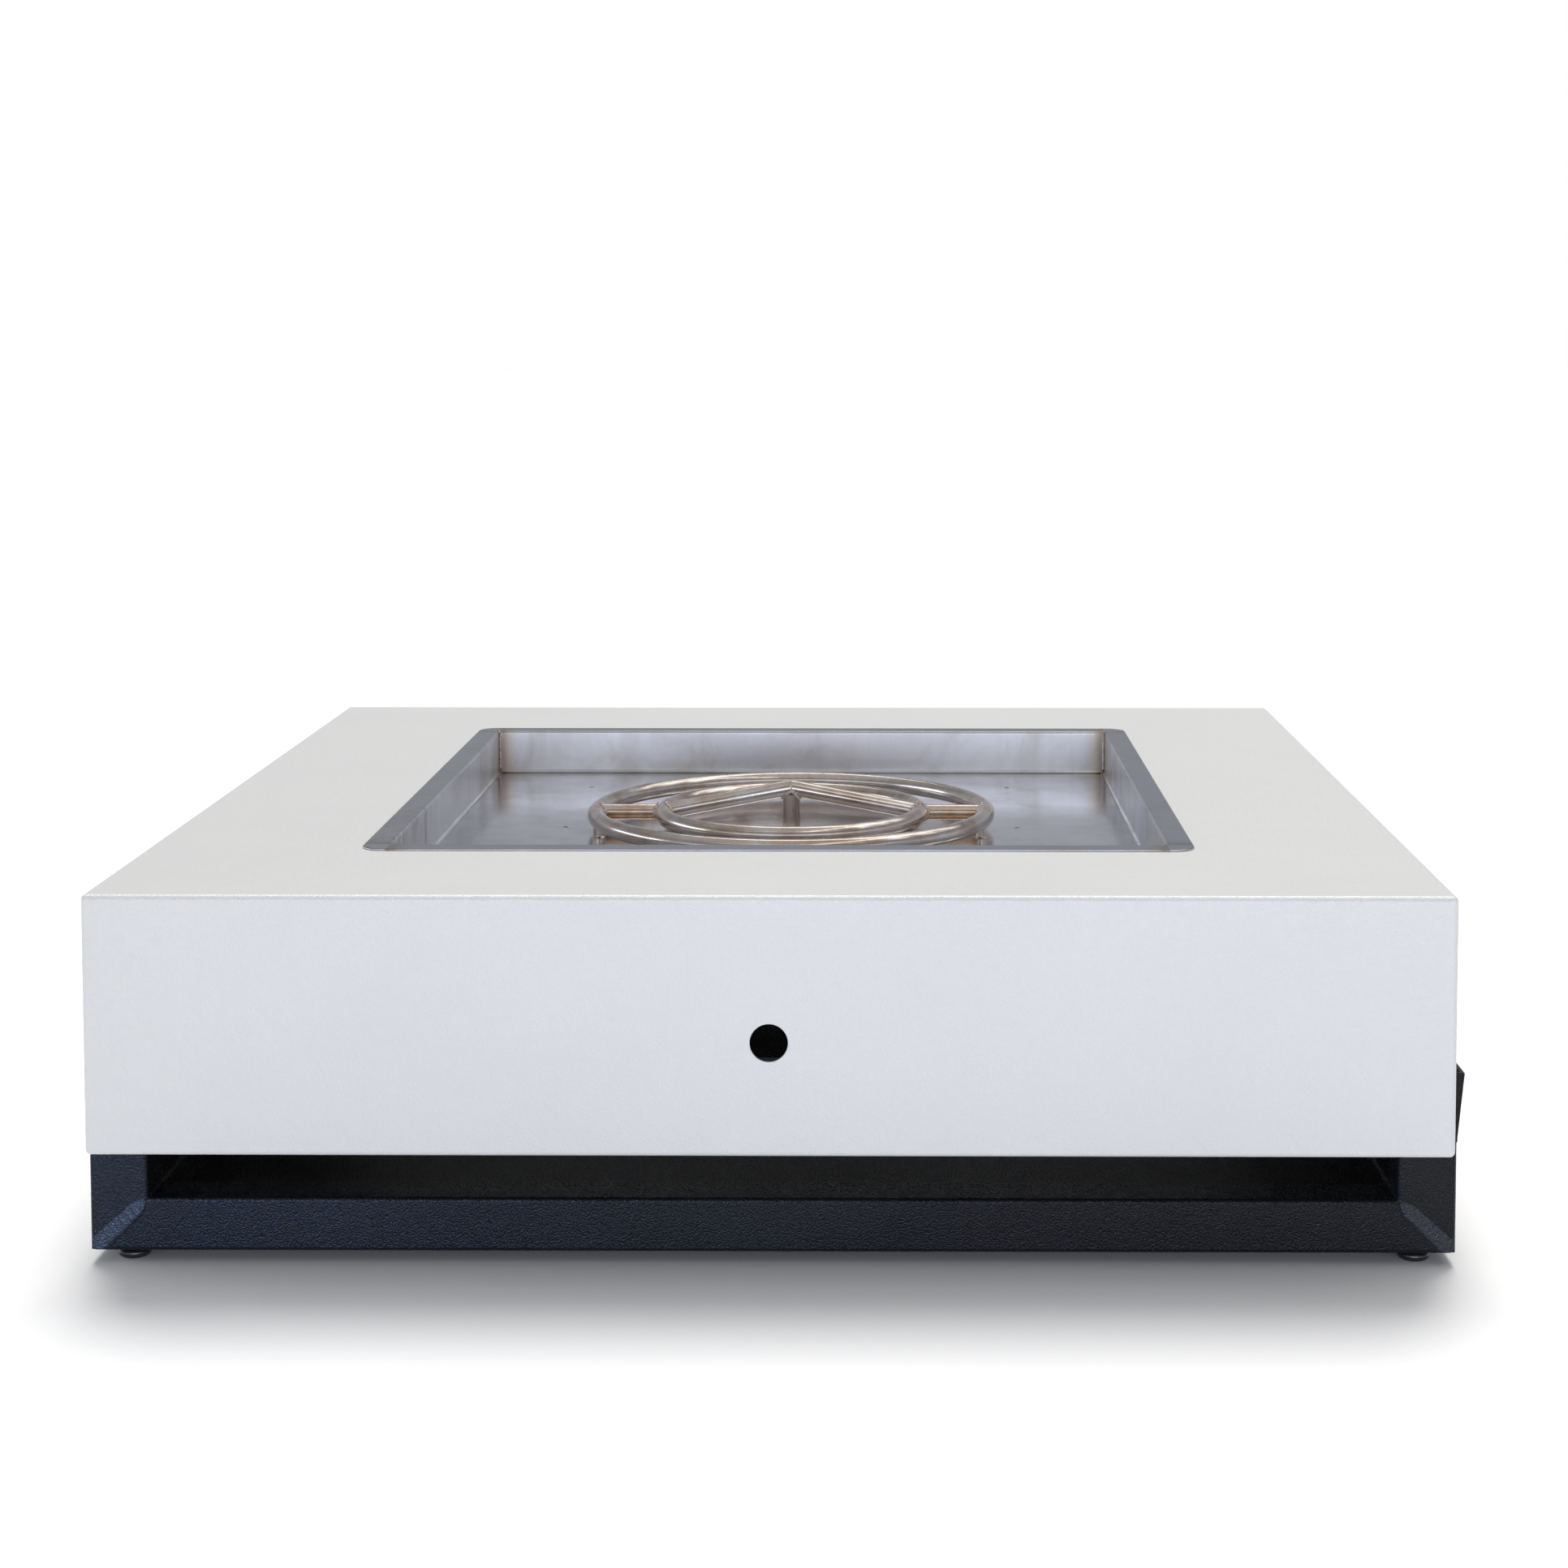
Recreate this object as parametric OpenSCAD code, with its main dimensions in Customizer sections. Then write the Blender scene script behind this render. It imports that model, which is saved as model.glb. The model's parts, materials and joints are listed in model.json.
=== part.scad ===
// Square outdoor gas fire table: a folded steel shell with a drop-in burner pan, standing on a
// square-tube base with levelling feet.
// +Z is up, -Y is the front, and the origin is on the floor under the middle of the table.

/* [Table shell] */
// Width and depth of the square table
table_w = 1220; // [1180:10:1300]
// Height of the table top above the floor
table_h = 354; // [345:1:400]
// Height of the side panels
shell_h = 235; // [220:1:250]
// Thickness of the shell's steel sheet
shell_t = 2.5; // [2:0.5:3]
// Outer radius of the bends along the edges of the shell
bend_r = 5; // [4:0.5:8]
// Width of the lip that turns in along the lower edge
shell_lip_w = 18; // [16:1:24]
// Width of the square cut-out that the pan drops into
cutout_w = 762; // [760:1:770]

/* [Control hole] */
// Diameter of the hole in the front panel
hole_d = 34; // [30:1:38]
// Distance from the table top down to the middle of the hole
hole_drop = 132; // [120:1:140]

/* [Base] */
// Outer width of the square tube
tube_w = 50; // [40:1:50]
// Wall thickness of the square tube
tube_t = 2; // [1.5:0.5:3]
// Outer corner radius of the square tube
tube_r = 4; // [3.5:0.5:5]
// How far the tubes stand out past each side of the shell
base_overhang = 10; // [8:1:14]
// How far the base is set back from the shell's front and back
base_setback = 60; // [50:1:80]
// Thickness of the side cheek plates
cheek_t = 4; // [3:0.5:5]
// How far the cheeks rise above the shell's lower edge
cheek_rise = 61; // [40:1:80]
// How far the cheeks lean out over that height
cheek_lean = 6; // [0:1:10]
// Height of the bottom tray above the floor
tray_z = 22; // [20:1:30]
// Diameter of the hole in the tray for the gas supply
supply_hole_d = 60; // [40:1:80]

/* [Feet] */
// Height of each levelling foot under the base
foot_h = 12; // [10:1:14]
// Diameter of the foot's pad
pad_d = 30; // [28:1:34]
// Diameter of the foot's threaded stud
stud_d = 10; // [8:1:10]
// Distance from the outside of the tube to the middle of each foot, sideways
foot_inset_x = 30; // [28:1:32]
// Distance from the outside of the tube to the middle of each foot, front to back
foot_inset_y = 25; // [24:1:26]

/* [Pan] */
// Inner width of the pan
pan_w = 752; // [740:1:754]
// Thickness of the pan's sheet
pan_t = 2; // [1.5:0.5:2]
// Width of the lip that rests on the table
pan_lip_w = 26; // [20:1:30]
// Depth of the pan's floor under the table top
pan_depth = 50; // [50:1:60]
// Corner radius of the lip
pan_corner_r = 13; // [8:1:15]

/* [Burner] */
// Diameter of the burner tube
burner_d = 19; // [18:0.5:20]
// Wall thickness of the burner tube
burner_t = 1.5; // [1:0.25:2]
// Radius of the outer ring, to the middle of its tube
outer_ring_r = 215; // [200:1:230]
// Radius of the inner ring, to the middle of its tube
inner_ring_r = 142; // [130:1:150]
// Depth of the rings' plane under the table top
ring_drop = 32.7; // [30:0.1:33]
// Depth of the arms' meeting point under the table top
apex_drop = 5.7; // [4:0.1:10]
// Diameter of the riser post
riser_d = 19; // [18:0.5:20]
// Diameter of a gas port
port_d = 2.4; // [2.4:0.2:3]
// Number of gas ports in the outer ring
outer_ports = 24; // [18:6:24]
// Number of gas ports in the inner ring
inner_ports = 18; // [12:6:18]

/* [Gas line] */
// Outer diameter of the flexible line
line_d = 16; // [14:1:16]
// Distance from the front panel back to the middle of the valve
valve_back = 150; // [145:1:155]

/* [Hidden] */
$fn = 64;
eps = 1;                              // how far a cutting shape runs past a face
fit = 0.05;                           // radial clearance of a thread or running fit
shell_z = table_h - shell_h;          // lower edge of the shell, and top of the posts
half_w = table_w / 2;
base_x = half_w + base_overhang;      // outside of the tubes, sideways
base_y = half_w - base_setback;       // outside of the tubes, front to back
foot_x = base_x - foot_inset_x;
foot_y = base_y - foot_inset_y;
cap_t = 3;
insert_d = 16;
insert_h = 14;
flange_t = 1.5;
stud_top = foot_h + 30;
socket_z = 6;                         // lower end of the stud, inside the pad
hole_z = table_h - hole_drop;
pan_floor_z = table_h - pan_depth;    // upper face of the pan's floor
pan_outer_w = pan_w + 2 * pan_t;
drain_d = 6;
drain_x = 250;
drain_y = 265;
ring_z = table_h - ring_drop;
apex_z = table_h - apex_drop;
spoke_d = burner_d - 2;               // the spokes and arms are a little thinner than the rings
arm_d = burner_d - 1;
seam_angle = 84;
feed_d = 10;                          // hole in a ring's wall where a spoke or an arm joins it
support_angle = 15;
support_d = 12;
washer_t = 2;
locknut_h = 12;
riser_bottom = pan_floor_z - 24;
mixer_top = pan_floor_z - pan_t - washer_t - locknut_h - 1;
mixer_h = 60;
mixer_z = mixer_top - mixer_h;        // shoulder above the mixer's threaded end
flare_h = 12;
flare_d = 20;
valve_y = -half_w + valve_back;
barrel_r = 17;
barrel_l = 28;                        // half the length of the valve's round barrel
hex_l = 12;                           // length of the hexagon at each end of the barrel
port_r = 9.5;
bonnet_r = 9;
plug_r = 11;                          // the turning plug inside the valve
plug_l = 12;                          // half the plug's length
plug_port_r = 6.5;
stem_r = 5;
drive_l = 10;                         // length of the stem's square end
drive_w = 7;
bracket_t = 3;
bracket_w = 70;
bracket_h = 76;
bracket_drop = 8;                     // middle of the bracket, below the middle of the hole
plate_y = valve_y - barrel_r - 8;     // back face of the bracket's plate
bonnet_end = plate_y - bracket_t - 14;
stem_end = bonnet_end - drive_l - 2;
fitting_l = 9;                        // hexagon of a fitting, outside the valve
line_start_x = barrel_l + hex_l + fitting_l;
line_end_z = mixer_z - flare_h - 1;

line_straight = 15;                   // straight length of the gas line inside each end nut

// Middle line of the flexible gas line between its straight ends: out of the valve sideways,
// back under the pan in a loose bend, and up into the mixer.
line_points = [
    [line_start_x + line_straight, valve_y, hole_z], [94, valve_y + 7, 219],
    [127, valve_y + 42, 208], [145, -350, 191], [142, -270, 170], [122, -190, 151],
    [92, -120, 140], [56, -65, 136], [25, -26, 143], [5, -6, 165],
    [0, 0, line_end_z - line_straight]
];
line_steps = 7;
line_sides = 12;

white = "#dfe1e6";
black = "#202226";
steel = "#9fa3a8";
bronze = "#b3a495";
brass = "#b99a4e";

// --- Shared shapes ---------------------------------------------------------------------------

// A square with rounded corners, about its middle.
module rounded_square(size, r) {
    square([size - 2 * r, size], center = true);
    square([size, size - 2 * r], center = true);
    for (x = [-1, 1], y = [-1, 1])
        translate([x, y] * (size / 2 - r)) circle(r);
}

// A length of the base's square tube, up from the origin.
module square_tube(length) {
    linear_extrude(length) difference() {
        rounded_square(tube_w, tube_r);
        rounded_square(tube_w - 2 * tube_t, tube_r - tube_t);
    }
}

// The quarter of a bend that lies towards -X and away from +Y, about the bend's middle.
module bend(r, t) {
    intersection() {
        difference() {
            circle(r);
            circle(r - t);
        }
        translate([-r, -r]) square(r);
    }
}

// A hexagonal nut with a round hole, up from the origin.
module hex_nut(across, h, bore) {
    difference() {
        cylinder(d = across, h = h, $fn = 6);
        translate([0, 0, -eps]) cylinder(r = bore, h = h + 2 * eps);
    }
}

// Puts one child at the left or right (x) and front or back (y) corner of the base.
module at_corner(x, y) {
    mirror([x < 0 ? 1 : 0, 0, 0]) mirror([0, y > 0 ? 1 : 0, 0]) children();
}

// --- Shell -----------------------------------------------------------------------------------

// Section of a side panel: the bend into the top, the flat wall, and the lip turned in below.
module apron_section() {
    translate([0, bend_r]) square([shell_t, shell_h - 2 * bend_r]);
    translate([bend_r, bend_r]) bend(bend_r, shell_t);
    translate([bend_r, shell_h - bend_r]) mirror([0, 1]) bend(bend_r, shell_t);
    translate([bend_r, 0]) square([shell_lip_w - bend_r, shell_t]);
}

// The front panel with mitred ends. The others are the same panel, turned.
module apron() {
    intersection() {
        translate([-half_w, -half_w, shell_z])
            rotate([90, 0, 90]) linear_extrude(table_w) apron_section();
        translate([0, 0, shell_z - eps]) linear_extrude(shell_h + 2 * eps)
            polygon([[0, 0], [-table_w, -table_w], [table_w, -table_w]]);
    }
}

module top_panel() {
    color(white) translate([0, 0, table_h - shell_t]) linear_extrude(shell_t) difference() {
        square(table_w - 2 * bend_r, center = true);
        rounded_square(cutout_w, bend_r);
    }
}

module front_apron() {
    color(white) difference() {
        apron();
        translate([0, -half_w - eps, hole_z])
            rotate([-90, 0, 0]) cylinder(d = hole_d, h = shell_t + 2 * eps);
    }
}

module right_apron() { color(white) rotate(90) apron(); }
module back_apron() { color(white) rotate(180) apron(); }
module left_apron() { color(white) rotate(270) apron(); }

// --- Base ------------------------------------------------------------------------------------

// The lower tube of the front frame, mitred to the posts, with a hole for each foot's insert.
module cross_rail() {
    color(black) difference() {
        intersection() {
            translate([-base_x, -base_y + tube_w / 2, foot_h + tube_w / 2])
                rotate([0, 90, 0]) square_tube(2 * base_x);
            translate([0, -base_y - eps, foot_h]) rotate([90, 0, 0]) mirror([0, 0, 1])
                linear_extrude(tube_w + 2 * eps) polygon([
                    [-base_x, 0], [base_x, 0], [base_x - tube_w, tube_w], [-base_x + tube_w, tube_w]
                ]);
        }
        for (x = [-foot_x, foot_x])
            translate([x, -foot_y, foot_h - eps]) cylinder(d = insert_d, h = tube_t + 2 * eps);
    }
}

module front_rail() { cross_rail(); }
module back_rail() { mirror([0, 1, 0]) cross_rail(); }

module right_rail() {
    color(black) translate([base_x - tube_w / 2, -base_y + tube_w, foot_h + tube_w / 2])
        rotate([-90, 0, 0]) square_tube(2 * (base_y - tube_w));
}
module left_rail() { mirror([1, 0, 0]) right_rail(); }

// The front right post: mitred to the front rail below, and square at the top.
module post() {
    post_h = shell_z - cap_t - foot_h;
    color(black) intersection() {
        translate([base_x - tube_w / 2, -base_y + tube_w / 2, foot_h]) square_tube(post_h);
        translate([0, -base_y - eps, foot_h]) rotate([90, 0, 0]) mirror([0, 0, 1])
            linear_extrude(tube_w + 2 * eps) polygon([
                [base_x, 0], [base_x, post_h], [base_x - tube_w, post_h], [base_x - tube_w, tube_w]
            ]);
    }
}

module front_left_post() { at_corner(-1, -1) post(); }
module front_right_post() { at_corner(1, -1) post(); }
module back_left_post() { at_corner(-1, 1) post(); }
module back_right_post() { at_corner(1, 1) post(); }

module post_caps() {
    color(black) for (x = [-1, 1], y = [-1, 1])
        translate([x * (base_x - tube_w / 2), y * (base_y - tube_w / 2), shell_z - cap_t])
            linear_extrude(cap_t) rounded_square(tube_w, tube_r);
}

// Side plate: it covers the rail and the posts, and above them it stands up beside the shell
// and leans out a little, with a return at each end that closes the gap to the shell.
module right_cheek() {
    return_x = half_w + 2;
    outer_x = base_x + cheek_t;
    top_z = shell_z + cheek_rise;
    plate = [
        [base_x, foot_h], [outer_x, foot_h], [outer_x, shell_z],
        [outer_x + cheek_lean, top_z], [base_x + cheek_lean, top_z], [base_x, shell_z]
    ];
    return_plate = [
        [return_x, shell_z], [outer_x, shell_z], [outer_x + cheek_lean, top_z],
        [return_x, top_z]
    ];
    color(black) {
        translate([0, base_y, 0]) rotate([90, 0, 0]) linear_extrude(2 * base_y) polygon(plate);
        for (y = [cheek_t - base_y, base_y])
            translate([0, y, 0]) rotate([90, 0, 0]) linear_extrude(cheek_t) polygon(return_plate);
    }
}
module left_cheek() { mirror([1, 0, 0]) right_cheek(); }

module bottom_tray() {
    color(black) translate([0, 0, tray_z]) linear_extrude(2) difference() {
        square([2 * (base_x - tube_w), 2 * (base_y - tube_w)], center = true);
        circle(d = supply_hole_d);
    }
}

// --- Feet ------------------------------------------------------------------------------------

// Threaded inserts in the lower wall of the rails, each with a thin flange inside the tube.
module foot_inserts() {
    color(steel) for (x = [-1, 1], y = [-1, 1])
        translate([x * foot_x, y * foot_y, foot_h]) difference() {
            union() {
                cylinder(d = insert_d, h = insert_h);
                translate([0, 0, tube_t]) cylinder(d = insert_d + 6, h = flange_t);
            }
            translate([0, 0, -eps]) cylinder(d = stud_d + 2 * fit, h = insert_h + 2 * eps);
        }
}

// The foot's pad: a round glide with a collar under the base, and a socket that its stud
// turns in.
module foot_pad(x, y) {
    rim = pad_d / 2;
    color("#17181a") translate([x * foot_x, y * foot_y, 0]) difference() {
        rotate_extrude() polygon([
            [0, 0], [rim - 3, 0], [rim - 1, 1.2], [rim, 3.5], [rim, 7.5], [rim - 1.5, 9],
            [rim - 6, 9.5], [rim - 6, foot_h], [0, foot_h]
        ]);
        translate([0, 0, socket_z]) cylinder(d = stud_d + 2 * fit, h = foot_h);
    }
}

module foot_stud(x, y) {
    color(steel) translate([x * foot_x, y * foot_y, socket_z])
        cylinder(d = stud_d, h = stud_top - socket_z);
}

module front_left_pad() { foot_pad(-1, -1); }
module front_right_pad() { foot_pad(1, -1); }
module back_left_pad() { foot_pad(-1, 1); }
module back_right_pad() { foot_pad(1, 1); }
module front_left_stud() { foot_stud(-1, -1); }
module front_right_stud() { foot_stud(1, -1); }
module back_left_stud() { foot_stud(-1, 1); }
module back_right_stud() { foot_stud(1, 1); }

// --- Pan and burner --------------------------------------------------------------------------

module drop_in_pan() {
    color(steel) {
        translate([0, 0, table_h]) linear_extrude(pan_t) difference() {
            rounded_square(pan_w + 2 * pan_lip_w, pan_corner_r);
            square(pan_w, center = true);
        }
        translate([0, 0, pan_floor_z]) linear_extrude(pan_depth + pan_t) difference() {
            square(pan_outer_w, center = true);
            square(pan_w, center = true);
        }
        translate([0, 0, pan_floor_z - pan_t]) linear_extrude(pan_t) difference() {
            square(pan_outer_w, center = true);
            circle(d = riser_d + 1);
            for (x = [-drain_x, drain_x], y = [-drain_y, 0, drain_y])
                translate([x, y]) circle(d = drain_d);
        }
    }
}

// A ring of tube, filled when wall is 0. Its seam is turned away from every hole.
module ring(r, wall = 0) {
    translate([0, 0, ring_z]) rotate(seam_angle) rotate_extrude($fn = 96)
        translate([r, 0]) difference() {
            circle(d = burner_d);
            if (wall > 0) circle(d = burner_d - 2 * wall);
        }
}

module gas_ports(r, count) {
    for (i = [0.5 : count])
        rotate(i * 360 / count) translate([r, 0, ring_z])
            cylinder(d = port_d, h = burner_d / 2 + eps, $fn = 16);
}

// A bar from the burner's middle out to the right, level with the rings.
module level_bar(d, x0, x1) {
    translate([x0, 0, ring_z]) rotate([0, 90, 0]) cylinder(d = d, h = x1 - x0);
}

// A bar along the right arm, from the meeting point down to the inner ring.
module sloped_bar(d, past = 0) {
    rise = apex_z - ring_z;
    length = sqrt(pow(inner_ring_r, 2) + pow(rise, 2));
    translate([0, 0, apex_z]) rotate([0, 90 + atan2(rise, inner_ring_r), 0])
        translate([0, 0, -past]) cylinder(d = d, h = length + past);
}

module outer_ring() {
    color(bronze) difference() {
        ring(outer_ring_r, burner_t);
        gas_ports(outer_ring_r, outer_ports);
        for (side = [0, 180])
            rotate(side) level_bar(feed_d, inner_ring_r, outer_ring_r);
    }
}

module inner_ring() {
    color(bronze) difference() {
        ring(inner_ring_r, burner_t);
        gas_ports(inner_ring_r, inner_ports);
        for (side = [0, 180]) rotate(side) {
            level_bar(feed_d, inner_ring_r, outer_ring_r);
            sloped_bar(feed_d);
        }
    }
}

module right_spoke() {
    color(bronze) difference() {
        level_bar(spoke_d, inner_ring_r, outer_ring_r);
        level_bar(spoke_d - 2 * burner_t, inner_ring_r - eps, outer_ring_r + eps);
        ring(inner_ring_r);
        ring(outer_ring_r);
    }
}
module left_spoke() { mirror([1, 0, 0]) right_spoke(); }

module right_arm() {
    color(bronze) difference() {
        sloped_bar(arm_d, arm_d);
        sloped_bar(arm_d - 2 * burner_t, arm_d + eps);
        ring(inner_ring_r);
        translate([-100, -50, ring_z]) cube(100);
        translate([0, 0, ring_z - 50]) cylinder(d = riser_d - 2 * burner_t, h = 50 + apex_drop);
    }
}
module left_arm() { mirror([1, 0, 0]) right_arm(); }

// The post carries the gas up to the arms. Its top is cut to fit under them.
module riser_post() {
    color(bronze) difference() {
        translate([0, 0, riser_bottom]) cylinder(d = riser_d, h = apex_z - 3 - riser_bottom);
        translate([0, 0, riser_bottom - eps])
            cylinder(d = riser_d - 2 * burner_t, h = apex_z - riser_bottom);
        for (side = [0, 180]) rotate(side) sloped_bar(arm_d, arm_d);
    }
}

// Short studs that hold the outer ring off the floor of the pan.
module ring_supports() {
    color(steel) difference() {
        for (side = [0, 180], angle = [-support_angle, support_angle])
            rotate(side + angle) translate([outer_ring_r, 0, pan_floor_z])
                cylinder(d = support_d, h = ring_z - pan_floor_z - burner_d / 4);
        ring(outer_ring_r);
    }
}

module pan_washer() {
    color(steel) translate([0, 0, pan_floor_z - pan_t - washer_t]) difference() {
        cylinder(d = 44, h = washer_t);
        translate([0, 0, -eps]) cylinder(d = riser_d + 1, h = washer_t + 2 * eps);
    }
}

module pan_locknut() {
    color(brass) translate([0, 0, pan_floor_z - pan_t - washer_t - locknut_h])
        hex_nut(38, locknut_h, riser_d / 2 + fit);
}

// Brings air into the gas through four windows, and screws onto the foot of the post.
module air_mixer() {
    color(brass) difference() {
        union() {
            translate([0, 0, mixer_z]) cylinder(r = 15, h = mixer_h);
            translate([0, 0, mixer_z - flare_h]) cylinder(d = flare_d, h = flare_h + eps);
        }
        translate([0, 0, riser_bottom]) cylinder(r = riser_d / 2 + fit, h = mixer_h);
        translate([0, 0, mixer_z + 12]) cylinder(r = 8, h = mixer_h);
        translate([0, 0, mixer_z - flare_h - eps]) cylinder(r = 3, h = mixer_h);
        for (angle = [0, 90])
            rotate(angle) translate([0, 0, mixer_z + 26])
                rotate([90, 0, 0]) cylinder(d = 9, h = 40, center = true);
    }
}

// --- Valve and gas line ----------------------------------------------------------------------

// One folded strip: two flanges on the front panel, two arms and the plate that holds the valve.
module valve_bracket() {
    front = -half_w + shell_t;
    color(black) translate([0, 0, hole_z - bracket_drop]) difference() {
        translate([0, 0, -bracket_h / 2]) {
            translate([-bracket_w / 2, plate_y - bracket_t, 0])
                cube([bracket_w, bracket_t, bracket_h]);
            for (side = [0, 1]) mirror([side, 0, 0])
                translate([bracket_w / 2 - bracket_t, front, 0]) {
                    cube([bracket_t, plate_y - front, bracket_h]);
                    cube([24, bracket_t, bracket_h]);
                }
        }
        translate([0, plate_y - bracket_t - eps, bracket_drop])
            rotate([-90, 0, 0]) cylinder(r = bonnet_r + 0.2, h = bracket_t + 2 * eps);
    }
}

// A quarter-turn plug valve: its ends point sideways, and its bonnet points to the front.
module valve_body() {
    color(brass) translate([0, valve_y, hole_z]) difference() {
        union() {
            rotate([0, 90, 0]) cylinder(r = barrel_r, h = 2 * barrel_l, center = true);
            for (side = [0, 180]) rotate(side) translate([barrel_l - eps, 0, 0])
                rotate([0, 90, 0]) cylinder(d = 2 * barrel_r, h = hex_l + eps, $fn = 6);
            rotate([90, 0, 0]) cylinder(r = bonnet_r, h = valve_y - bonnet_end);
            rotate([90, 0, 0]) cylinder(r = 13, h = valve_y - plate_y);
        }
        rotate([90, 0, 0]) cylinder(r = plug_r + fit, h = 2 * plug_l + fit, center = true);
        rotate([0, 90, 0]) cylinder(r = plug_port_r, h = 4 * barrel_l, center = true);
        for (side = [0, 180]) rotate(side) translate([barrel_l, 0, 0])
            rotate([0, 90, 0]) cylinder(r = port_r, h = hex_l + eps);
        rotate([90, 0, 0]) cylinder(r = stem_r + fit, h = valve_y - bonnet_end + eps);
    }
}

module bonnet_nut() {
    color(black) translate([0, plate_y - bracket_t, hole_z])
        rotate([90, 0, 0]) hex_nut(28, 6, bonnet_r + fit);
}

// The stem turns the plug, and ends in a square for the valve key.
module valve_stem() {
    color(black) translate([0, valve_y, hole_z]) rotate([90, 0, 0]) {
        translate([0, 0, plug_l])
            cylinder(r = stem_r, h = valve_y - stem_end - drive_l - plug_l);
        translate([-drive_w / 2, -drive_w / 2, valve_y - stem_end - drive_l - eps])
            cube([drive_w, drive_w, drive_l + eps]);
    }
}

// The plug's cross hole lies along the valve when it is open, and is shown open.
module valve_plug() {
    color(steel) translate([0, valve_y, hole_z]) difference() {
        rotate([90, 0, 0]) cylinder(r = plug_r, h = 2 * plug_l, center = true);
        rotate([0, 90, 0]) cylinder(r = plug_port_r, h = 3 * plug_r, center = true);
    }
}

// The right fitting joins the valve to the gas line.
module fitting_shape() {
    translate([0, valve_y, hole_z]) rotate([0, 90, 0]) difference() {
        union() {
            translate([0, 0, barrel_l + 1]) cylinder(r = port_r - fit, h = hex_l);
            translate([0, 0, barrel_l + hex_l]) cylinder(d = 26, h = fitting_l, $fn = 6);
        }
        cylinder(r = 5, h = 100);
    }
}

module outlet_fitting() { color(brass) fitting_shape(); }

// The left fitting has a free threaded end for the supply hose.
module inlet_fitting() {
    color(brass) {
        mirror([1, 0, 0]) fitting_shape();
        translate([-line_start_x, valve_y, hole_z]) rotate([0, -90, 0]) difference() {
            translate([0, 0, -eps]) cylinder(r = 7.94, h = 16 + eps);
            translate([0, 0, -2 * eps]) cylinder(r = 5, h = 20);
        }
    }
}

function unit(v) = v / norm(v);

// A point on the smooth curve through the list p, at stretch i and share t along it.
function curve(p, i, t) =
    let (
        last = len(p) - 1,
        a = p[max(i - 1, 0)],
        b = p[i],
        c = p[i + 1],
        d = p[min(i + 2, last)]
    )
    (2 * b + (c - a) * t + (2 * a - 5 * b + 4 * c - d) * pow(t, 2)
        + (3 * b - a - 3 * c + d) * pow(t, 3)) / 2;

function smooth(p, steps) = [
    for (i = [0 : len(p) - 2]) for (k = [0 : steps - 1]) curve(p, i, k / steps),
    p[len(p) - 1]
];

// The direction across the line at each point, carried along so that the tube doesn't twist.
function carried(n, t) = unit(n - (n * t) * t);
function normals(tangents, n, i = 0) =
    i == len(tangents) ? [] :
    let (m = carried(n, tangents[i])) concat([m], normals(tangents, m, i + 1));

module gas_line() {
    path = concat(
        [[line_start_x, valve_y, hole_z]], smooth(line_points, line_steps), [[0, 0, line_end_z]]
    );
    last = len(path) - 1;
    tangents = [
        for (i = [0 : last])
            i <= 1 ? [1, 0, 0] : i >= last - 1 ? [0, 0, 1] : unit(path[i + 1] - path[i - 1])
    ];
    across = normals(tangents, [0, 0, 1]);
    points = [
        for (i = [0 : last]) for (k = [0 : line_sides - 1])
            let (a = 360 * k / line_sides, side = cross(tangents[i], across[i]))
            path[i] + line_d / 2 * (cos(a) * across[i] + sin(a) * side)
    ];
    walls = [
        for (i = [0 : last - 1]) for (k = [0 : line_sides - 1])
            let (j = (k + 1) % line_sides, low = i * line_sides, high = low + line_sides)
            each [[low + k, high + k, high + j], [low + k, high + j, low + j]]
    ];
    ends = [
        [for (k = [0 : line_sides - 1]) k],
        [for (k = [line_sides - 1 : -1 : 0]) last * line_sides + k]
    ];
    color(steel) polyhedron(points, concat(walls, ends));
}

module line_nuts() {
    color(brass) {
        translate([line_start_x, valve_y, hole_z]) rotate([0, 90, 0])
            hex_nut(28, 12, line_d / 2 + 0.3);
        translate([0, 0, line_end_z - 8]) difference() {
            cylinder(d = 32, h = 8 + flare_h, $fn = 6);
            translate([0, 0, -eps]) cylinder(r = line_d / 2 + 0.3, h = 9 + eps);
            translate([0, 0, 8]) cylinder(r = flare_d / 2 + 0.3, h = flare_h + eps);
        }
    }
}

top_panel();
front_apron();
back_apron();
left_apron();
right_apron();
front_rail();
back_rail();
left_rail();
right_rail();
front_left_post();
front_right_post();
back_left_post();
back_right_post();
post_caps();
left_cheek();
right_cheek();
bottom_tray();
foot_inserts();
front_left_pad();
front_right_pad();
back_left_pad();
back_right_pad();
front_left_stud();
front_right_stud();
back_left_stud();
back_right_stud();
drop_in_pan();
outer_ring();
inner_ring();
left_spoke();
right_spoke();
left_arm();
right_arm();
riser_post();
ring_supports();
pan_washer();
pan_locknut();
air_mixer();
valve_bracket();
valve_body();
bonnet_nut();
valve_stem();
valve_plug();
inlet_fitting();
outlet_fitting();
gas_line();
line_nuts();
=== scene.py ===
import json
import math
import random

import bmesh
import bpy
from mathutils import Matrix, Vector

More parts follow.
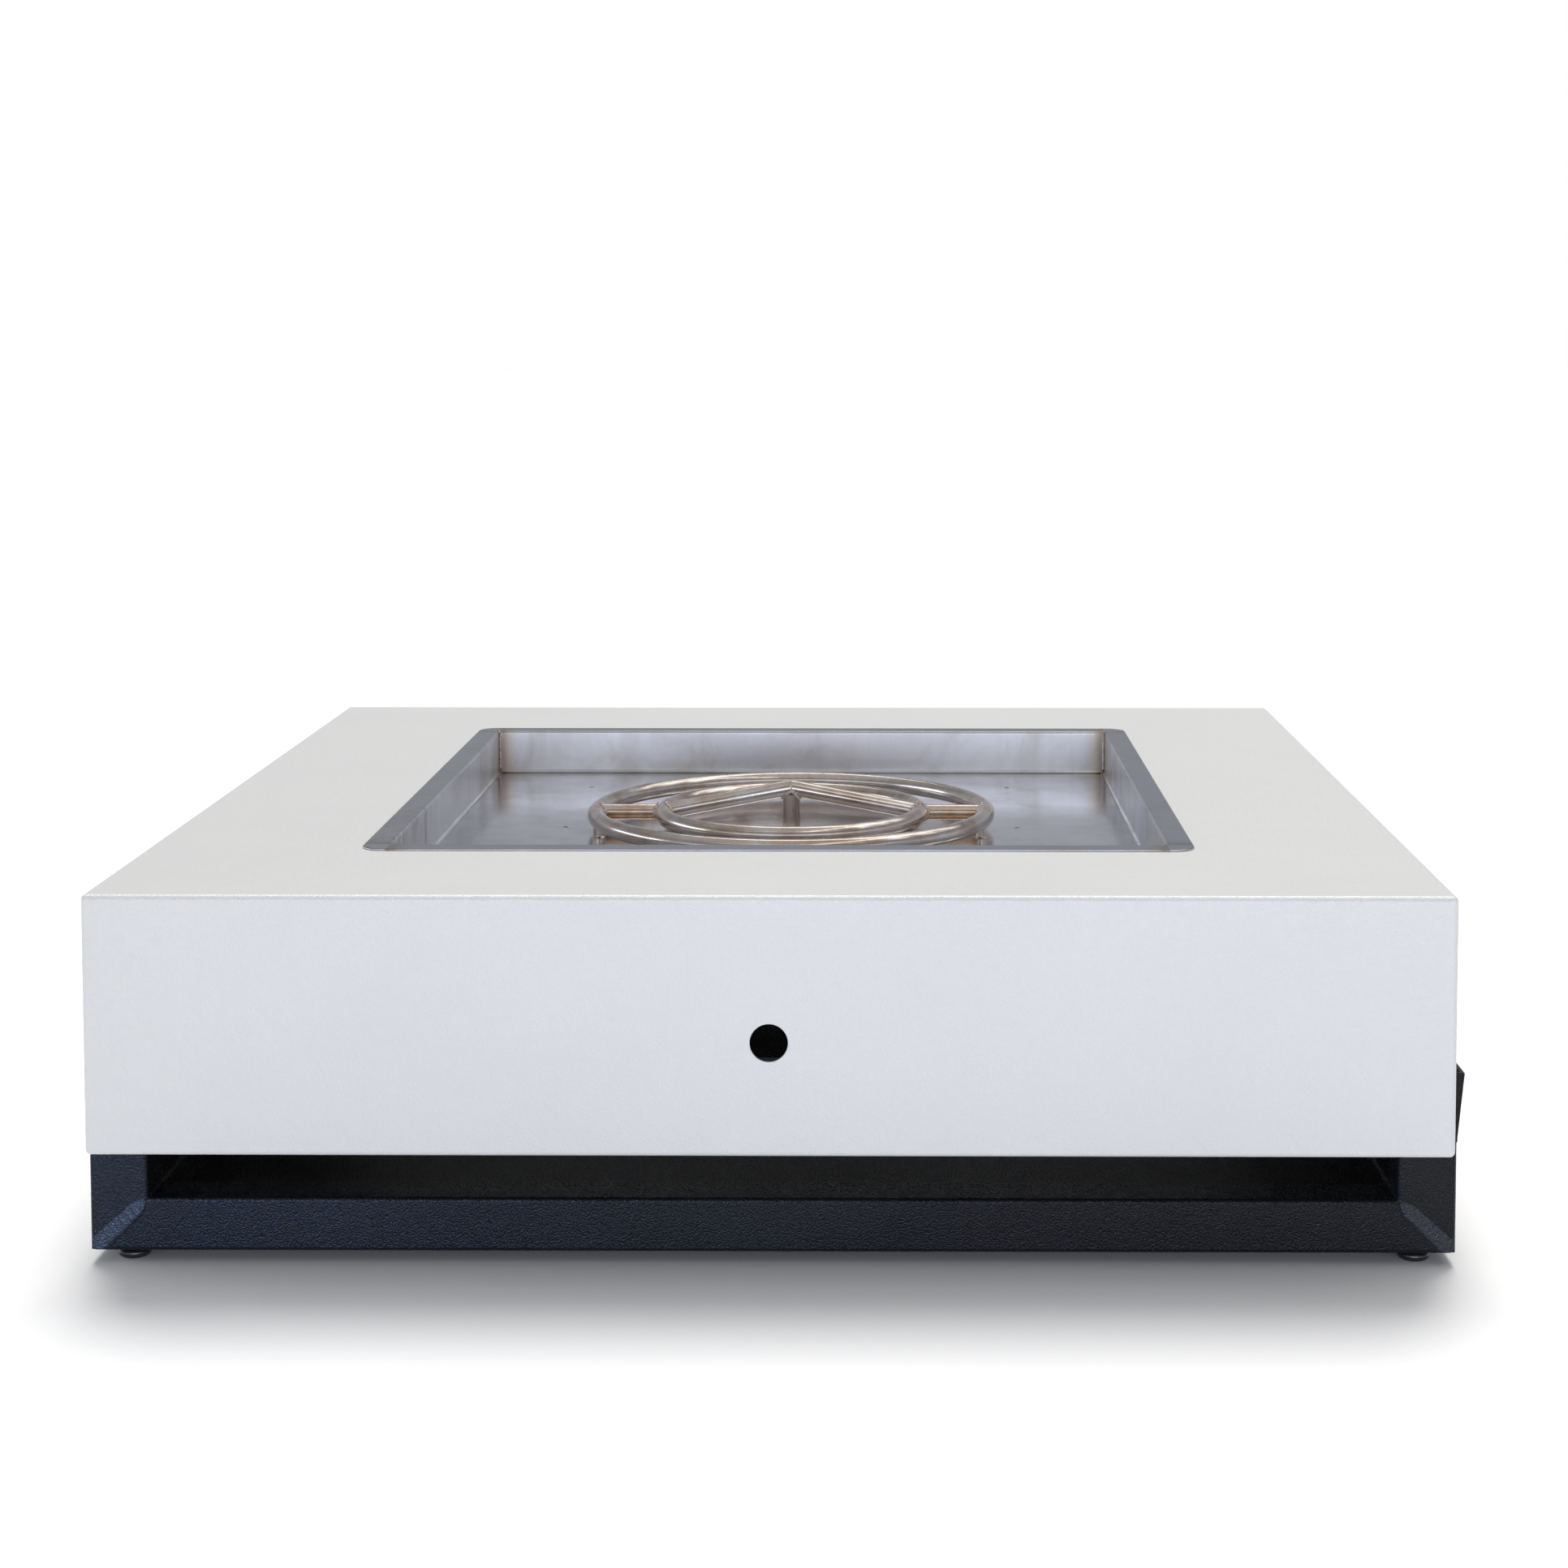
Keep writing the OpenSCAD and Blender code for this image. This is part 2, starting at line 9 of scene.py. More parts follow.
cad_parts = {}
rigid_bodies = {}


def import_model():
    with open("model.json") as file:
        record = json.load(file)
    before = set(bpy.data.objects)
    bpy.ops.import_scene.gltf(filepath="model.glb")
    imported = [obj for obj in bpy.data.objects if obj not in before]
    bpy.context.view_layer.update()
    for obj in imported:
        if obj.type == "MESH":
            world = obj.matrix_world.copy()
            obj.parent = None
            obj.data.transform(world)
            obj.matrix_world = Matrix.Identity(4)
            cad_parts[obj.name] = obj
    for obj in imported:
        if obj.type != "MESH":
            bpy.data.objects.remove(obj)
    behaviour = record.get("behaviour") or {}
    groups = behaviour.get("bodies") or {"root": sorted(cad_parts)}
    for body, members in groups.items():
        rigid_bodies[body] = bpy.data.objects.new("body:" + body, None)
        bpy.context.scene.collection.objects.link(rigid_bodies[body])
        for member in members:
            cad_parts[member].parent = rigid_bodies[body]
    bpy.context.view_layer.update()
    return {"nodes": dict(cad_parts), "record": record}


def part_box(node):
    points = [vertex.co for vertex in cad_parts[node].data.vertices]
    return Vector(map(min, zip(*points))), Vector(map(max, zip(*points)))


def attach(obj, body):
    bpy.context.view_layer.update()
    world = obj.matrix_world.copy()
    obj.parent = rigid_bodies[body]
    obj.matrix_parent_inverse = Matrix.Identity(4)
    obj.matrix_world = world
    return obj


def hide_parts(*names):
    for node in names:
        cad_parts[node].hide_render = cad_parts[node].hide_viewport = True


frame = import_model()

mm = 0.001

# --- Sizes taken from the frame, in metres -----------------------------------------------------

top_low, top_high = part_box("top_panel")
half_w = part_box("right_apron")[1].x
table_z = top_high.z
shell_t = top_high.z - top_low.z
bend_r = half_w - top_high.x
shell_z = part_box("front_apron")[0].z
lip_inner = -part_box("front_apron")[1].y
cutout_half = 0.381
cutout_r = 5 * mm

rail_low, rail_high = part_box("front_rail")
tube_w = rail_high.z - rail_low.z
tube_r = 4 * mm
post_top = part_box("front_left_post")[1].z
side_x = rail_high.x + 4 * mm
square_end = 4.5 * mm

pan_low, pan_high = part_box("drop_in_pan")
pan_t = 2 * mm
pan_half = 0.376
pan_lip_r = 21 * mm
drain_r = 3 * mm
drain_x = 0.25
drain_y = 0.265

outer_low, outer_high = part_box("outer_ring")
burner_r = (outer_high.z - outer_low.z) / 2
ring_z = (outer_high.z + outer_low.z) / 2
outer_ring_r = outer_high.x - burner_r
inner_ring_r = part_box("inner_ring")[1].x - burner_r
spoke_r = burner_r - 1 * mm
arm_r = burner_r - 0.5 * mm
apex_z = table_z - 5.7 * mm
post_low, post_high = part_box("riser_post")
riser_r = post_high.x
port_r = 1.2 * mm
outer_ports = 24
inner_ports = 18
support_r = 6 * mm
support_angle = 15

hole = next(m for m in frame["record"]["mounts"] if m["name"] == "control_hole")
hole_r = hole["dims"]["r_mm"] * mm
hole_z = hole["pos_m"][2]

corners = {
    "front_left": (-1, -1), "front_right": (1, -1), "back_left": (-1, 1), "back_right": (1, 1)
}

# The middle line of the flexible gas line, as in the CAD model.
line_r = 8 * mm
line_points = [
    (49, -460, 222), (64, -460, 222), (94, -453, 219), (127, -418, 208), (145, -350, 191),
    (142, -270, 170), (122, -190, 151), (92, -120, 140), (56, -65, 136), (25, -26, 143),
    (5, -6, 165), (0, 0, 199), (0, 0, 214)
]


# --- Camera ------------------------------------------------------------------------------------

def make_camera():
    data = bpy.data.cameras.new("camera")
    data.sensor_width = 36
    data.lens = 62.71
    data.shift_x = -0.05
    data.shift_y = -0.17
    data.clip_end = 100
    camera = bpy.data.objects.new("camera", data)
    camera.location = (0.101, -2.994, 0.851)
    camera.rotation_euler = (math.radians(90 - 3.88), 0, math.radians(0.43))
    bpy.context.scene.collection.objects.link(camera)
    bpy.context.scene.camera = camera


make_camera()


# --- Materials ---------------------------------------------------------------------------------

def add(tree, kind, settings=None, inputs=None):
    """A new shader node. Each input is a number, a colour or another node's output."""
    made = tree.nodes.new("ShaderNode" + kind)
    for key, value in (settings or {}).items():
        setattr(made, key, value)
    for key, value in (inputs or {}).items():
        if isinstance(value, bpy.types.NodeSocket):
            tree.links.new(value, made.inputs[key])
        else:
            made.inputs[key].default_value = value
    return made


def new_material(name, values):
    """A material, its node tree, its shader and its object coordinates."""
    made = bpy.data.materials.new(name)
    made.use_nodes = True
    tree = made.node_tree
    shader = tree.nodes["Principled BSDF"]
    for key, value in values.items():
        shader.inputs[key].default_value = value
    place = add(tree, "TexCoord").outputs["Object"]
    return made, tree, shader, place


def noise(tree, place, scale, detail=3.0, roughness=0.55, distortion=0.0):
    return add(tree, "TexNoise", inputs={
        "Vector": place, "Scale": scale, "Detail": detail, "Roughness": roughness,
        "Distortion": distortion
    }).outputs["Fac"]


def stretched(tree, place, scale):
    """Coordinates scaled by a different amount along each axis."""
    return add(tree, "VectorMath", {"operation": "MULTIPLY"}, {0: place, 1: scale}).outputs[0]


def math_node(tree, operation, a, b=0.0):
    return add(tree, "Math", {"operation": operation}, {0: a, 1: b}).outputs[0]


def spread(tree, value, low, high, to_low, to_high):
    """Maps the range low to high onto the range to_low to to_high, and stops at its ends."""
    return add(tree, "MapRange", {"clamp": True}, {
        "Value": value, "From Min": low, "From Max": high, "To Min": to_low, "To Max": to_high
    }).outputs["Result"]


def ramp(tree, value, stops):
    """A colour ramp through stops, each a position and a colour."""
    made = add(tree, "ValToRGB", inputs={"Fac": value})
    elements = made.color_ramp.elements
    while len(elements) < len(stops):
        elements.new(0.5)
    for element, (position, colour) in zip(elements, stops):
        element.position = position
        element.color = (*colour, 1)
    return made.outputs["Color"]


def mix(tree, share, a, b, blend="MIX"):
    made = add(tree, "Mix", {"data_type": "RGBA", "blend_type": blend})
    for socket, value in zip((made.inputs[0], made.inputs[6], made.inputs[7]), (share, a, b)):
        if isinstance(value, bpy.types.NodeSocket):
            tree.links.new(value, socket)
        else:
            socket.default_value = value
    return made.outputs[2]


def bump(tree, shader, height, distance):
    """Relief as deep as distance where the height runs from 0 to 1."""
    made = add(tree, "Bump", inputs={"Height": height, "Distance": distance, "Strength": 1.0})
    tree.links.new(made.outputs["Normal"], shader.inputs["Normal"])


def powder_coat(name, dark, light, roughness, pebble, depth, coat, gloss):
    """Textured paint: soft irregular pebbles about as wide as pebble, with finer grain on them."""
    made, tree, shader, place = new_material(
        name, {"Coat Weight": coat, "Coat Roughness": 0.18, "Specular IOR Level": gloss}
    )
    drift = noise(tree, place, 0.4 / pebble, 2, 0.5)
    cells = add(tree, "TexVoronoi", {"feature": "SMOOTH_F1"}, {
        "Vector": place, "Scale": 1 / pebble, "Smoothness": 0.35, "Randomness": 1.0
    }).outputs["Distance"]
    grain = noise(tree, place, 2.6 / pebble, 2, 0.5)
    height = math_node(tree, "SUBTRACT", math_node(tree, "MULTIPLY", drift, 0.35), cells)
    height = math_node(tree, "ADD", height, math_node(tree, "MULTIPLY", grain, 0.3))
    bump(tree, shader, height, depth)
    patches = noise(tree, place, 6, 3)
    colour = ramp(tree, patches, [(0.35, dark), (0.65, light)])
    tree.links.new(colour, shader.inputs["Base Color"])
    sheen = spread(tree, noise(tree, place, 1.2 / pebble, 2), 0.3, 0.7,
                   roughness - 0.07, roughness + 0.09)
    tree.links.new(sheen, shader.inputs["Roughness"])
    return made


def pan_steel():
    """Brushed sheet: smudges, faint scratches, corner-weld heat tint, rust runs, painted shade on
    the lip's top.
    """
    made, tree, shader, place = new_material("pan_stainless", {"Metallic": 1.0})
    along_x = noise(tree, stretched(tree, place, (5, 900, 900)), 1.0, 3, 0.6)
    along_y = noise(tree, stretched(tree, place, (900, 5, 900)), 1.0, 3, 0.6)
    normal = add(tree, "TexCoord").outputs["Normal"]
    faces = add(tree, "SeparateXYZ", inputs={0: normal})
    facing = math_node(tree, "ABSOLUTE", faces.outputs["X"])
    side_wall = math_node(tree, "GREATER_THAN", facing, 0.6)
    brushed = mix(tree, side_wall, along_x, along_y)
    waves = noise(tree, place, 5, 2, 0.5)
    height = math_node(tree, "ADD", math_node(tree, "MULTIPLY", brushed, 0.016),
                       math_node(tree, "MULTIPLY", waves, 1.0))
    bump(tree, shader, height, 0.5 * mm)

    smudges = noise(tree, place, 11, 5, 0.62, 0.6)
    streaks = noise(tree, stretched(tree, place, (26, 26, 6)), 1.0, 4, 0.6, 0.3)
    colour = ramp(tree, smudges, [
        (0.30, (0.53, 0.51, 0.50)), (0.47, (0.66, 0.66, 0.68)), (0.70, (0.72, 0.73, 0.77))
    ])
    colour = mix(tree, spread(tree, streaks, 0.5, 0.72, 0.0, 0.4), colour,
                 (0.50, 0.475, 0.465, 1))
    apart = add(tree, "SeparateXYZ", inputs={0: place})
    # Painted shade: the top of the lip is painted darker and bluer, standing in for the dark
    # reflection it shows.
    lip = spread(tree, apart.outputs["Z"], table_z + 1.2 * mm, table_z + 1.8 * mm, 0, 1)
    colour = mix(tree, math_node(tree, "MULTIPLY", lip, 0.85), colour, (0.31, 0.315, 0.335, 1))
    left = spread(tree, apart.outputs["X"], 1.5 * mm - pan_half, 0.5 * mm - pan_half, 0, 1)
    near = spread(tree, apart.outputs["Y"], -0.10, -0.22, 0, 1)
    runs = noise(tree, stretched(tree, place, (90, 90, 16)), 1.0, 4, 0.6, 0.5)
    rust = math_node(tree, "MULTIPLY", math_node(tree, "MULTIPLY", left, near),
                     spread(tree, runs, 0.53, 0.68, 0, 0.75))
    colour = mix(tree, rust, colour, (0.30, 0.17, 0.09, 1))
    x_part = math_node(tree, "ABSOLUTE", apart.outputs["X"])
    y_part = math_node(tree, "ABSOLUTE", apart.outputs["Y"])
    to_corner = math_node(tree, "MINIMUM", x_part, y_part)
    tint = ramp(tree, spread(tree, to_corner, pan_half - 24 * mm, pan_half - 2 * mm, 0, 1), [
        (0.0, (1.0, 1.0, 1.0)), (0.5, (0.93, 0.86, 0.76)), (0.85, (0.62, 0.52, 0.45))
    ])
    inside = spread(tree, to_corner, pan_half + 0.2 * mm, pan_half + 0.8 * mm, 1, 0)
    colour = mix(tree, inside, colour, mix(tree, 1.0, colour, tint, "MULTIPLY"))
    tree.links.new(colour, shader.inputs["Base Color"])
    upright = spread(tree, math_node(tree, "ABSOLUTE", faces.outputs["Z"]), 0.3, 0.8, 0.21, 0)
    rough = math_node(tree, "ADD", spread(tree, smudges, 0.3, 0.7, 0.18, 0.07),
                      math_node(tree, "MULTIPLY", brushed, 0.06))
    rough = math_node(tree, "ADD", rough, upright)
    tree.links.new(rough, shader.inputs["Roughness"])
    return made


def tube_steel(name, lengthwise):
    """Polished tube with fine lines along it and a warm heat tint. lengthwise is x, z or ring."""
    made, tree, shader, place = new_material(name, {"Metallic": 1.0})
    apart = add(tree, "SeparateXYZ", inputs={0: place})
    if lengthwise == "ring":
        flat = add(tree, "CombineXYZ", inputs={
            "X": apart.outputs["X"], "Y": apart.outputs["Y"]
        }).outputs[0]
        radius = add(tree, "VectorMath", {"operation": "LENGTH"}, {0: flat}).outputs["Value"]
        angle = math_node(tree, "ARCTAN2", apart.outputs["Y"], apart.outputs["X"])
        path = add(tree, "CombineXYZ", inputs={
            "X": math_node(tree, "MULTIPLY", angle, 0.4), "Y": radius, "Z": apart.outputs["Z"]
        }).outputs[0]
        lines_at = stretched(tree, path, (3, 900, 900))
    else:
        path = place
        lines_at = stretched(tree, path, (8, 900, 900) if lengthwise == "x" else (900, 900, 8))
    lines = noise(tree, lines_at, 1.0, 3, 0.6)
    bands = noise(tree, stretched(tree, lines_at, (1, 0.25, 0.25)), 1.0, 2, 0.5)
    bump(tree, shader, math_node(tree, "ADD", lines, bands), 0.014 * mm)
    patches = noise(tree, place, 22, 4, 0.6, 0.4)
    colour = ramp(tree, patches, [
        (0.32, (0.54, 0.44, 0.37)), (0.48, (0.66, 0.58, 0.52)), (0.68, (0.74, 0.71, 0.70))
    ])
    # Copper and blue heat tint beside the welds, where the spokes meet the rings.
    to_axis = math_node(tree, "ABSOLUTE", apart.outputs["Y"])
    near_axis = spread(tree, to_axis, 0.012, 0.045, 1, 0)
    out = math_node(tree, "ABSOLUTE", apart.outputs["X"])
    near_ring = spread(tree, out, inner_ring_r - 27 * mm, inner_ring_r + 8 * mm, 0, 1)
    near_weld = math_node(tree, "MULTIPLY", near_axis, near_ring)
    low_side = spread(tree, apart.outputs["Z"], ring_z + 5 * mm, ring_z - 2 * mm, 0.45, 1)
    near_weld = math_node(tree, "MULTIPLY", near_weld, low_side)
    heat = ramp(tree, noise(tree, place, 60, 3, 0.6), [
        (0.35, (0.60, 0.33, 0.18)), (0.55, (0.78, 0.55, 0.38)), (0.72, (0.60, 0.58, 0.64))
    ])
    colour = mix(tree, math_node(tree, "MULTIPLY", near_weld, 0.85), colour, heat)
    tree.links.new(colour, shader.inputs["Base Color"])
    rough = math_node(tree, "ADD", spread(tree, patches, 0.3, 0.7, 0.15, 0.22),
                      math_node(tree, "MULTIPLY", lines, 0.06))
    tree.links.new(rough, shader.inputs["Roughness"])
    return made


def weld_steel():
    made, tree, shader, place = new_material("weld_metal", {"Metallic": 1.0})
    colour = ramp(tree, noise(tree, place, 260, 3, 0.6), [
        (0.30, (0.33, 0.26, 0.22)), (0.50, (0.60, 0.56, 0.53)), (0.70, (0.70, 0.70, 0.73))
    ])
    tree.links.new(colour, shader.inputs["Base Color"])
    lumps = noise(tree, place, 900, 3, 0.6)
    bump(tree, shader, lumps, 0.25 * mm)
    tree.links.new(spread(tree, lumps, 0.3, 0.7, 0.22, 0.42), shader.inputs["Roughness"])
    return made


def plain_metal(name, stops, rough_low, rough_high, grain, depth, metallic=1.0):
    """Metal with patches of colour through stops, and fine machining grain."""
    made, tree, shader, place = new_material(name, {"Metallic": metallic})
    patches = noise(tree, place, 45, 4, 0.6, 0.3)
    tree.links.new(ramp(tree, patches, stops), shader.inputs["Base Color"])
    lines = noise(tree, place, grain, 3, 0.6)
    bump(tree, shader, lines, depth)
    tree.links.new(spread(tree, lines, 0.3, 0.7, rough_low, rough_high),
                   shader.inputs["Roughness"])
    return made


def zinc_plate():
    made, tree, shader, place = new_material("zinc_steel", {"Metallic": 1.0})
    flakes = add(tree, "TexVoronoi", {"feature": "F1"}, {
        "Vector": place, "Scale": 420.0, "Randomness": 1.0
    })
    shade = add(tree, "SeparateColor", inputs={0: flakes.outputs["Color"]}).outputs[0]
    colour = ramp(tree, shade, [(0.0, (0.50, 0.51, 0.53)), (1.0, (0.68, 0.68, 0.67))])
    tree.links.new(colour, shader.inputs["Base Color"])
    tree.links.new(spread(tree, shade, 0, 1, 0.28, 0.45), shader.inputs["Roughness"])
    bump(tree, shader, noise(tree, place, 1500, 2), 0.03 * mm)
    return made


def gloss_plastic():
    made, tree, shader, place = new_material(
        "foot_plastic", {"Coat Weight": 0.3, "Coat Roughness": 0.05}
    )
    colour = ramp(tree, noise(tree, place, 70, 3), [
        (0.35, (0.008, 0.008, 0.010)), (0.65, (0.016, 0.016, 0.018))
    ])
    tree.links.new(colour, shader.inputs["Base Color"])
    scuffs = noise(tree, stretched(tree, place, (160, 160, 900)), 1.0, 4, 0.65)
    tree.links.new(spread(tree, scuffs, 0.4, 0.7, 0.13, 0.34), shader.inputs["Roughness"])
    bump(tree, shader, scuffs, 0.04 * mm)
    return made


def floor_paint():
    made, tree, shader, place = new_material(
        "studio_floor", {"Roughness": 1.0, "Specular IOR Level": 0.0}
    )
    colour = ramp(tree, noise(tree, place, 2, 2), [
        (0.3, (0.955, 0.955, 0.955)), (0.7, (0.965, 0.965, 0.965))
    ])
    tree.links.new(colour, shader.inputs["Base Color"])
    return made


materials = {
    "white_powder_coat": powder_coat(
        "white_powder_coat", (0.584, 0.584, 0.581), (0.594, 0.594, 0.590), 0.38, 1.8 * mm,
        0.36 * mm, 0.15, 0.5
    ),
    "black_powder_coat": powder_coat(
        "black_powder_coat", (0.0036, 0.0038, 0.0044), (0.0058, 0.0060, 0.0068), 0.25, 1.6 * mm,
        0.48 * mm, 0.0, 0.14
    ),
    # Painted sheen: the coat over the ground mitre welds is the black coat painted lighter and
    # bluer, with more gloss.
    "mitre_weld_painted_sheen": powder_coat(
        "mitre_weld_sheen_coat", (0.006, 0.007, 0.010), (0.009, 0.0105, 0.0145), 0.27, 1.8 * mm,
        0.45 * mm, 0.0, 0.28
    ),
    "foot_plastic": gloss_plastic(),
    "zinc_steel": zinc_plate(),
    "pan_stainless": pan_steel(),
    "burner_stainless": tube_steel("burner_ring_steel", "ring"),
    "burner_bar": tube_steel("burner_bar_steel", "x"),
    "burner_post": tube_steel("burner_post_steel", "z"),
    "weld": weld_steel(),
    "line_stainless": plain_metal(
        "line_stainless", [(0.3, (0.46, 0.45, 0.43)), (0.7, (0.64, 0.64, 0.63))],
        0.22, 0.40, 1200, 0.03 * mm
    ),
    "brass": plain_metal(
        "brass",
        [(0.30, (0.44, 0.28, 0.10)), (0.50, (0.66, 0.48, 0.20)), (0.7, (0.74, 0.58, 0.28))],
        0.20, 0.38, 1600, 0.04 * mm
    ),
    # Painted shade: near black, so that the stem and nut seen through the control hole read as the
    # shade inside it.
    "dark_steel": plain_metal(
        "dark_steel", [(0.3, (0.016, 0.016, 0.018)), (0.7, (0.035, 0.034, 0.034))],
        0.30, 0.48, 1400, 0.04 * mm, 0.8
    ),
}


# --- Mesh helpers ------------------------------------------------------------------------------

def to_object(name, mesh):
    """Turns a bmesh into an object of the scene, with its points merged and its faces outward."""
    bmesh.ops.remove_doubles(mesh, verts=mesh.verts, dist=1e-6)
    bmesh.ops.recalc_face_normals(mesh, faces=mesh.faces)
    data = bpy.data.meshes.new(name)
    mesh.to_mesh(data)
    mesh.free()
    made = bpy.data.objects.new(name, data)
    bpy.context.scene.collection.objects.link(made)
    return made


def finish_piece(piece, body, material, stands_for=(), crease=35):
    """Gives a piece its shading, its material and its body, and hides the CAD nodes that it stands
    for.
    """
    for polygon in piece.data.polygons:
        polygon.use_smooth = True
    piece.data.set_sharp_from_angle(angle=math.radians(crease))
    weighted = piece.modifiers.new("normals", "WEIGHTED_NORMAL")
    weighted.keep_sharp = True
    piece.data.materials.clear()
    piece.data.materials.append(materials[material])
    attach(piece, body)
    if stands_for:
        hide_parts(*stands_for)
    return piece


def bake(piece):
    """Applies the piece's modifiers to its mesh."""
    graph = bpy.context.evaluated_depsgraph_get()
    data = bpy.data.meshes.new_from_object(piece.evaluated_get(graph))
    piece.modifiers.clear()
    piece.data = data


def cut(piece, *cutters):
    """Takes the cutters' shapes out of the piece, and removes the cutters."""
    for cutter in cutters:
        modifier = piece.modifiers.new("cut", "BOOLEAN")
        modifier.operation = "DIFFERENCE"
        modifier.solver = "EXACT"
        modifier.object = cutter
        bake(piece)
        bpy.data.objects.remove(cutter)


def loft(name, rings, loop=False, caps=False):
    """A skin through rings that all have the same number of points."""
    mesh = bmesh.new()
    grid = [[mesh.verts.new(p) for p in ring] for ring in rings]
    pairs = list(zip(grid, grid[1:]))
    if loop:
        pairs.append((grid[-1], grid[0]))
    count = len(rings[0])
    for low, high in pairs:
        for i in range(count):
            j = (i + 1) % count
            mesh.faces.new((low[i], low[j], high[j], high[i]))
    if caps:
        mesh.faces.new(reversed(grid[0]))
        mesh.faces.new(grid[-1])
    return to_object(name, mesh)


def arc(centre_a, centre_b, r, start, end, steps):
    """Points on an arc in a plane, from the angle start to the angle end, in degrees."""
    angles = [math.radians(start + (end - start) * k / steps) for k in range(steps + 1)]
    return [(centre_a + r * math.cos(a), centre_b + r * math.sin(a)) for a in angles]


def square_ring(half, r, z, steps=6):
    """The outline of a level square whose corners have the radius r."""
    points = []
    for quarter in range(4):
        turn = Matrix.Rotation(quarter * math.pi / 2, 3, "Z")
        for a, b in arc(half - r, half - r, r, 0, 90, steps):
            points.append(turn @ Vector((a, b, z)))
    return points


def lathe(name, profile, place, sides, axis="Z"):
    """A turned solid. profile holds radii and heights, and axis is Z for upright or Y for level."""
    turn = Matrix.Rotation(math.pi / 2, 3, "X") if axis == "Y" else Matrix.Identity(3)
    angles = [2 * math.pi * k / sides for k in range(sides)]
    rings = [
        [turn @ Vector((r * math.cos(a), r * math.sin(a), h)) + Vector(place) for a in angles]
        for r, h in profile
    ]
    return loft(name, rings, caps=True)


def tube(name, path, radii, sides, loop=False, centre=None):
    """A round bar along a path. With a centre, each ring of points starts facing away from it."""
    path = [Vector(p) for p in path]
    count = len(path)
    rings = []
    across = None
    for i, here in enumerate(path):
        before = path[i - 1] if loop or i else here
        after = path[(i + 1) % count] if loop or i < count - 1 else here
        along = (after - before).normalized()
        if centre is not None:
            across = here - Vector(centre)
        elif across is None:
            across = along.orthogonal()
        across = (across - across.dot(along) * along).normalized()
        side = along.cross(across)
        r = radii[i] if isinstance(radii, list) else radii
        angles = [2 * math.pi * k / sides for k in range(sides)]
        rings.append([here + r * (math.cos(a) * across + math.sin(a) * side) for a in angles])
    return loft(name, rings, loop=loop, caps=not loop)


def bevelled(node, width=0.5 * mm, segments=2):
    """A copy of a CAD node's shape with its sharp edges rounded over."""
    mesh = bmesh.new()
    mesh.from_mesh(frame["nodes"][node].data)
    bmesh.ops.remove_doubles(mesh, verts=mesh.verts, dist=2e-6)
    bmesh.ops.dissolve_limit(
        mesh, angle_limit=math.radians(1), verts=mesh.verts, edges=mesh.edges
    )
    made = to_object(node + "_bevelled", mesh)
    modifier = made.modifiers.new("bevel", "BEVEL")
    modifier.width = width
    modifier.segments = segments
    modifier.limit_method = "ANGLE"
    modifier.angle_limit = math.radians(40)
    bake(made)
    return made


# --- Shell -------------------------------------------------------------------------------------

def make_shell():
    """One welded and coated skin: the top, the four sides and the lip turned in below."""
    flat_half = half_w - bend_r
    steps = 6
    outer = [(cutout_half, table_z)]
    outer += arc(flat_half, table_z - bend_r, bend_r, 90, 0, steps)
    outer += arc(flat_half, shell_z + bend_r, bend_r, 0, -90, steps)
    outer.append((lip_inner, shell_z))
    inner_r = bend_r - shell_t
    inner = [(lip_inner, shell_z + shell_t)]
    inner += arc(flat_half, shell_z + bend_r, inner_r, -90, 0, steps)
    inner += arc(flat_half, table_z - bend_r, inner_r, 0, 90, steps)
    inner.append((cutout_half, table_z - shell_t))
    rings = []
    for half, z in outer + inner:
        corner_r = cutout_r if half == cutout_half else max(half - flat_half, 0)
        rings.append(square_ring(half, corner_r, z))
    shell = loft("shell_skin", rings, loop=True)

    rim = 0.6 * mm
    depth = [(hole_r + 2 * rim, 3 * mm), (hole_r + rim, 0)]
    depth += [(a, b) for a, b in arc(hole_r + rim, -rim, rim, 90, 180, 4)]
    depth += [(a, b) for a, b in arc(hole_r + rim, rim - shell_t, rim, 180, 270, 4)]
    depth.append((hole_r + 2 * rim, -shell_t - 3 * mm))
    cutter = lathe("hole_cutter", depth, (0, -half_w, hole_z), sides=96, axis="Y")
    cut(shell, cutter)
    finish_piece(shell, "shell", "white_powder_coat", stands_for=(
        "top_panel", "front_apron", "back_apron", "left_apron", "right_apron"
    ))


make_shell()


# --- Base --------------------------------------------------------------------------------------

def inset_outline(points, inset, steps=6):
    """An upright outline with rounded corners, moved in by inset. points hold x, z and radius."""
    made = []
    for i, (x, z, radius) in enumerate(points):
        here = Vector((x, z))
        before = Vector(points[i - 1][:2])
        after = Vector(points[(i + 1) % len(points)][:2])
        a = (here - before).normalized()
        b = (after - here).normalized()
        moved = here + inset * (Vector((-a.y, a.x)) + Vector((-b.y, b.x)))
        bulges = a.x * b.y - a.y * b.x > 0
        r = max(radius - inset if bulges else radius + inset, 0.1 * mm)
        centre = moved - r * a + r * b
        for k in range(steps + 1):
            t = math.pi / 2 * k / steps
            made.append(centre - r * math.cos(t) * b + r * math.sin(t) * a)
    return made


